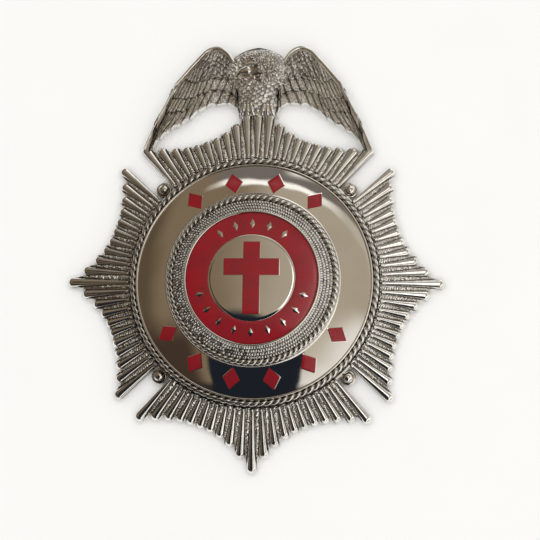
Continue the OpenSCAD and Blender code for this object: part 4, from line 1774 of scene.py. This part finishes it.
@dataclass
class Studio:
    """Pale floor, soft room light and the camera.

    Bright metal shows what stands round it, so a wide ceiling that only reflections see hangs close over
    the badge. It is brown on the left and beige on the right, with a white window behind the eagle, a
    white wall on the lower right and a dark blue patch in front. The table ceiling lists its colours from
    the lowest layer to the highest. The halves of the two squares and the fill light's measures are in
    metres, and the rest in millimetres, degrees or pixels of the picture.
    """

    site: Site
    floor_half: float = 1.2
    card_half: float = 1.5
    card_z: float = 70.0
    card_sway: float = 14.0
    sway_scale: float = 34.0
    oval_share: float = 0.93
    edge_share: float = 0.3
    mirrored: tuple[float, float] = (-7.0, 10.0)
    crest_x: float = -13.0
    crest_w: float = 24.0
    crest_h: float = 9.0
    azimuth: float = 34.7
    tilt: float = 10.11
    spin: float = 1.10
    distance: float = 358.0
    mm_per_px: float = 0.1751
    frame_px: float = 540.0
    sun_px: tuple[float, float] = (254.48, 282.27)
    sun_z: float = 2.4
    sensor: float = 36.0
    fill_watts: float = 9.5
    fill_size: float = 1.6
    fill_up: float = 1.1
    base: Colour = (0.22, 0.165, 0.105)
    ceiling: tuple[Patch, ...] = (
        # Beige right half, darker far left, and the dark lower left corner
        Patch((0.45, 0.39, 0.305), (Ramp("x", -26, 12),)),
        Patch((0.11, 0.080, 0.048), (Ramp("x", -72, -100),)),
        Patch((0.060, 0.038, 0.027), (Ramp("y", -8, -36), Ramp("x", -38, -56))),
        # Ring that the rays mirror, dark on the left and bright on the right
        Patch((0.050, 0.040, 0.030), (Ramp("round", 24, 28), Ramp("round", 50, 44)), (
            Patch((0.90, 0.89, 0.86), (Ramp("x", -22, 22),)),
            Patch((0.27, 0.24, 0.20), (Ramp("y", 18, 34),)),
        )),
        # Grey behind the window, the window's dim left end, and the window
        Patch((0.18, 0.158, 0.145), (Ramp("edge", 85, 91), Ramp("y", 10, 30), Ramp("x", -52, -34))),
        Patch((0.52, 0.48, 0.40),
              (Ramp("edge", 80, 84), Ramp("edge", 91, 87), Ramp("y", 12, 30), Ramp("x", -56, -40))),
        Patch((1.20, 1.19, 1.15),
              (Ramp("edge", 80, 84), Ramp("edge", 91, 87), Ramp("y", 12, 30), Ramp("x", -44, -30),
               Ramp("x", 64, 30))),
        # Far right side, and the wall on the lower right that brightens outwards
        Patch((0.85, 0.84, 0.80), (Ramp("x", 96, 140), Ramp("y", -80, -55))),
        Patch((0.56, 0.50, 0.41),
              (Ramp("x", 20, 27), Ramp("y", -4, -32), Ramp("x", 120, 90, Ramp("y", -120, -95))), (
                  Patch((0.88, 0.85, 0.80), (Ramp("oval", 44, 72),)),
                  Patch((1.5, 1.47, 1.42), (Ramp("oval", 80, 100),)),
              )),
        # Bright patch close on the right, and the bright far upper right
        Patch((1.9, 1.87, 1.80),
              (Ramp("x", 20, 25), Ramp("x", 38, 32), Ramp("y", 24, 14), Ramp("y", -30, -20))),
        Patch((1.45, 1.43, 1.38), (Ramp("x", 10, 24), Ramp("x", 150, 120), Ramp("y", 98, 112))),
        # Dark band and dark blue patch in front, and the dim far left
        Patch((0.030, 0.025, 0.024), (Ramp("x", -120, -100), Ramp("x", 46, 30), Ramp("y", -62, -70))),
        Patch((0.012, 0.016, 0.024), (Ramp("x", -39, -35), Ramp("x", 28, 24), Ramp("crest", -3, -8))),
        Patch((0.10, 0.090, 0.078), (Ramp("oval", 135, 190), Ramp("x", 50, 10))),
    )

    def camera(self) -> None:
        """Places the camera so that the middle of the sunburst falls at its pixel of the picture."""
        az, tilt, spin = (math.radians(value) for value in (self.azimuth, self.tilt, self.spin))
        back = Vector((math.sin(az) * math.sin(tilt), -math.cos(az) * math.sin(tilt), math.cos(tilt)))
        up = Vector((-math.sin(spin), math.cos(spin), 0.0))
        up = (up - back * up.dot(back)).normalized()
        right = up.cross(back)
        sun = Vector((0.0, self.site.sun_y, self.sun_z))
        eye = sun + back * self.distance
        middle = self.frame_px / 2
        aim = sun + (right * (middle - self.sun_px[0]) + up * (self.sun_px[1] - middle)) * self.mm_per_px
        view = (eye - aim).normalized()
        up = (up - view * up.dot(view)).normalized()
        right = up.cross(view)
        data = bpy.data.cameras.new("camera")
        data.sensor_width = self.sensor
        data.lens = self.sensor * self.distance / (self.frame_px * self.mm_per_px)
        data.clip_start = 0.01
        data.clip_end = 10.0
        camera = bpy.data.objects.new("camera", data)
        turn = Matrix((right, up, view)).transposed().to_4x4()
        camera.matrix_world = Matrix.Translation(eye * MM) @ turn
        bpy.context.scene.collection.objects.link(camera)
        bpy.context.scene.camera = camera

    def square(self, name: str, half: float, face: tuple[int, ...]) -> bpy.types.Object:
        """Flat square round the origin.

        Args:
            name: Name of the square.
            half: Half the length of its side, in metres.
            face: Order of its corners, which says whether it looks up or down.

        Returns:
            The square's object.
        """
        mesh = bpy.data.meshes.new(name)
        corners = [(-half, -half, 0), (half, -half, 0), (half, half, 0), (-half, half, 0)]
        mesh.from_pydata(corners, [], [face])
        square = bpy.data.objects.new(name, mesh)
        bpy.context.scene.collection.objects.link(square)
        return square

    def floor(self) -> None:
        """Large flat pale floor with a faint mottle."""
        floor = self.square("floor", self.floor_half, (0, 1, 2, 3))
        material = bpy.data.materials.new("pale_floor")
        material.use_nodes = True
        sheet = NodeSheet(material.node_tree)
        shader = material.node_tree.nodes["Principled BSDF"]
        place = sheet.add("ShaderNodeTexCoord").outputs["Object"]
        mottle = sheet.noise(place, 60.0, 2.0)
        sheet.feed(shader, {"Base Color": sheet.mix(mottle, (0.90, 0.90, 0.895), (0.93, 0.93, 0.925))})
        shader.inputs["Roughness"].default_value = 0.9
        floor.data.materials.append(material)

    def room(self) -> None:
        """World light, a warm vertical gradient."""
        world = bpy.data.worlds.new("room")
        bpy.context.scene.world = world
        world.use_nodes = True
        world.node_tree.nodes.clear()
        sheet = NodeSheet(world.node_tree)
        direction = sheet.add("ShaderNodeTexCoord").outputs["Generated"]
        height = sheet.add("ShaderNodeSeparateXYZ", {0: direction}).outputs[2]
        colour = sheet.mix(sheet.ramp(height, -0.1, 0.5), (0.40, 0.38, 0.35), (0.60, 0.59, 0.57))
        background = sheet.add("ShaderNodeBackground", {"Color": colour, "Strength": 1.0})
        sheet.add("ShaderNodeOutputWorld", {"Surface": background.outputs[0]})

    def measures(self, sheet: NodeSheet) -> dict[str, bpy.types.NodeSocket]:
        """Measures of a place on the ceiling, in millimetres from the sunburst's middle.

        The place x, y sways a little with noise. The others are oval, the distance from the middle with y
        shortened, edge, which is oval shortened on the left, round, the distance from the place that flat
        metal at the middle mirrors, and crest, which is y raised with the square of the way to the side.

        Args:
            sheet: Sheet of the ceiling's material.

        Returns:
            The measures' sockets by name.
        """
        place = sheet.add("ShaderNodeTexCoord").outputs["Object"]
        inputs = {"Vector": place, "Location": (0.0, -self.site.sun_y, 0.0),
                  "Scale": (1 / MM, 1 / MM, 1.0)}
        mapped = sheet.add("ShaderNodeMapping", inputs).outputs[0]
        sway = sheet.noise(place, self.sway_scale, 1.0, "Color")
        sway = sheet.vector("SUBTRACT", {0: sway, 1: (0.5, 0.5, 0.5)})
        sway = sheet.vector("SCALE", {0: sway, "Scale": self.card_sway})
        mapped = sheet.vector("ADD", {0: mapped, 1: sway})
        x, y = sheet.add("ShaderNodeSeparateXYZ", {0: mapped}).outputs[:2]
        oval = sheet.length(x, sheet.times(y, self.oval_share))
        left = sheet.times(sheet.math("MINIMUM", x, 0.0), self.edge_share)
        round_x, round_y = (sheet.math("SUBTRACT", place, middle)
                            for place, middle in zip((x, y), self.mirrored))
        aside = sheet.math("DIVIDE", sheet.math("SUBTRACT", x, self.crest_x), self.crest_w)
        return {
            "x": x,
            "y": y,
            "oval": oval,
            "edge": sheet.math("ADD", oval, left),
            "round": sheet.length(round_x, round_y),
            "crest": sheet.math("ADD", y, sheet.times(aside, aside, self.crest_h)),
        }

    def layered(self, sheet: NodeSheet, measures: dict[str, bpy.types.NodeSocket], colour: object,
                patches: tuple[Patch, ...]) -> object:
        """Lays patches over a colour, each over those before it.

        Args:
            sheet: Sheet of the ceiling's material.
            measures: The measures' sockets by name.
            colour: Colour or socket under the patches.
            patches: The patches from the lowest to the highest.

        Returns:
            The colour's socket, or the colour itself when there is no patch.
        """
        for patch in patches:
            shares = []
            for ramp in patch.ramps:
                share = sheet.ramp(measures[ramp.measure], ramp.low, ramp.high)
                if ramp.other:
                    beside = sheet.ramp(measures[ramp.other.measure], ramp.other.low, ramp.other.high)
                    share = sheet.math("MAXIMUM", share, beside)
                shares.append(share)
            own = self.layered(sheet, measures, patch.colour, patch.shades)
            colour = sheet.mix(sheet.times(*shares), colour, own)
        return colour

    def card(self) -> None:
        """Ceiling that only reflections see."""
        card = self.square("ceiling", self.card_half, (3, 2, 1, 0))
        card.location = (0.0, 0.0, self.card_z * MM)
        card.visible_camera = False
        card.visible_diffuse = False
        card.visible_transmission = False
        card.visible_volume_scatter = False
        card.visible_shadow = False
        material = bpy.data.materials.new("ceiling_light")
        material.use_nodes = True
        material.node_tree.nodes.clear()
        sheet = NodeSheet(material.node_tree)
        colour = self.layered(sheet, self.measures(sheet), self.base, self.ceiling)
        glow = sheet.add("ShaderNodeEmission", {"Color": colour, "Strength": 1.0})
        sheet.add("ShaderNodeOutputMaterial", {"Surface": glow.outputs[0]})
        card.data.materials.append(material)

    def fill(self) -> None:
        """Square area light straight over the badge, which polished metal doesn't mirror."""
        data = bpy.data.lights.new("overhead_fill", "AREA")
        data.shape = "SQUARE"
        data.size = self.fill_size
        data.energy = self.fill_watts
        lamp = bpy.data.objects.new("overhead_fill", data)
        lamp.location = (0.0, 0.0, self.fill_up)
        lamp.visible_glossy = False
        lamp.visible_camera = False
        bpy.context.scene.collection.objects.link(lamp)

    def build(self) -> None:
        """Makes the floor, the lights and the camera."""
        self.camera()
        self.floor()
        self.room()
        self.card()
        self.fill()
        bpy.context.scene.view_settings.view_transform = "Standard"


def main() -> None:
    """Builds the stage and the badge's sub-assemblies in order, then dresses the pin clasp."""
    logging.basicConfig(level=logging.INFO, format="%(name)s %(message)s")
    site = Site.read()
    Studio(site).build()
    workshop = Workshop(site)
    dome = Dome.through(DOME_SPHERE_R, DOME_RIM_R, DOME_RIM_Z)
    Sunburst(workshop).build()
    Panel(workshop, dome).build()
    Inlays(workshop, dome).build()
    Seal(workshop, dome).build()
    Eagle(workshop).build()
    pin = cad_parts["pin_clasp"]
    workshop.dress(pin, Finish.PIN)
    log.info("pin_clasp: packed node, dressed")


if __name__ == "__main__":
    main()
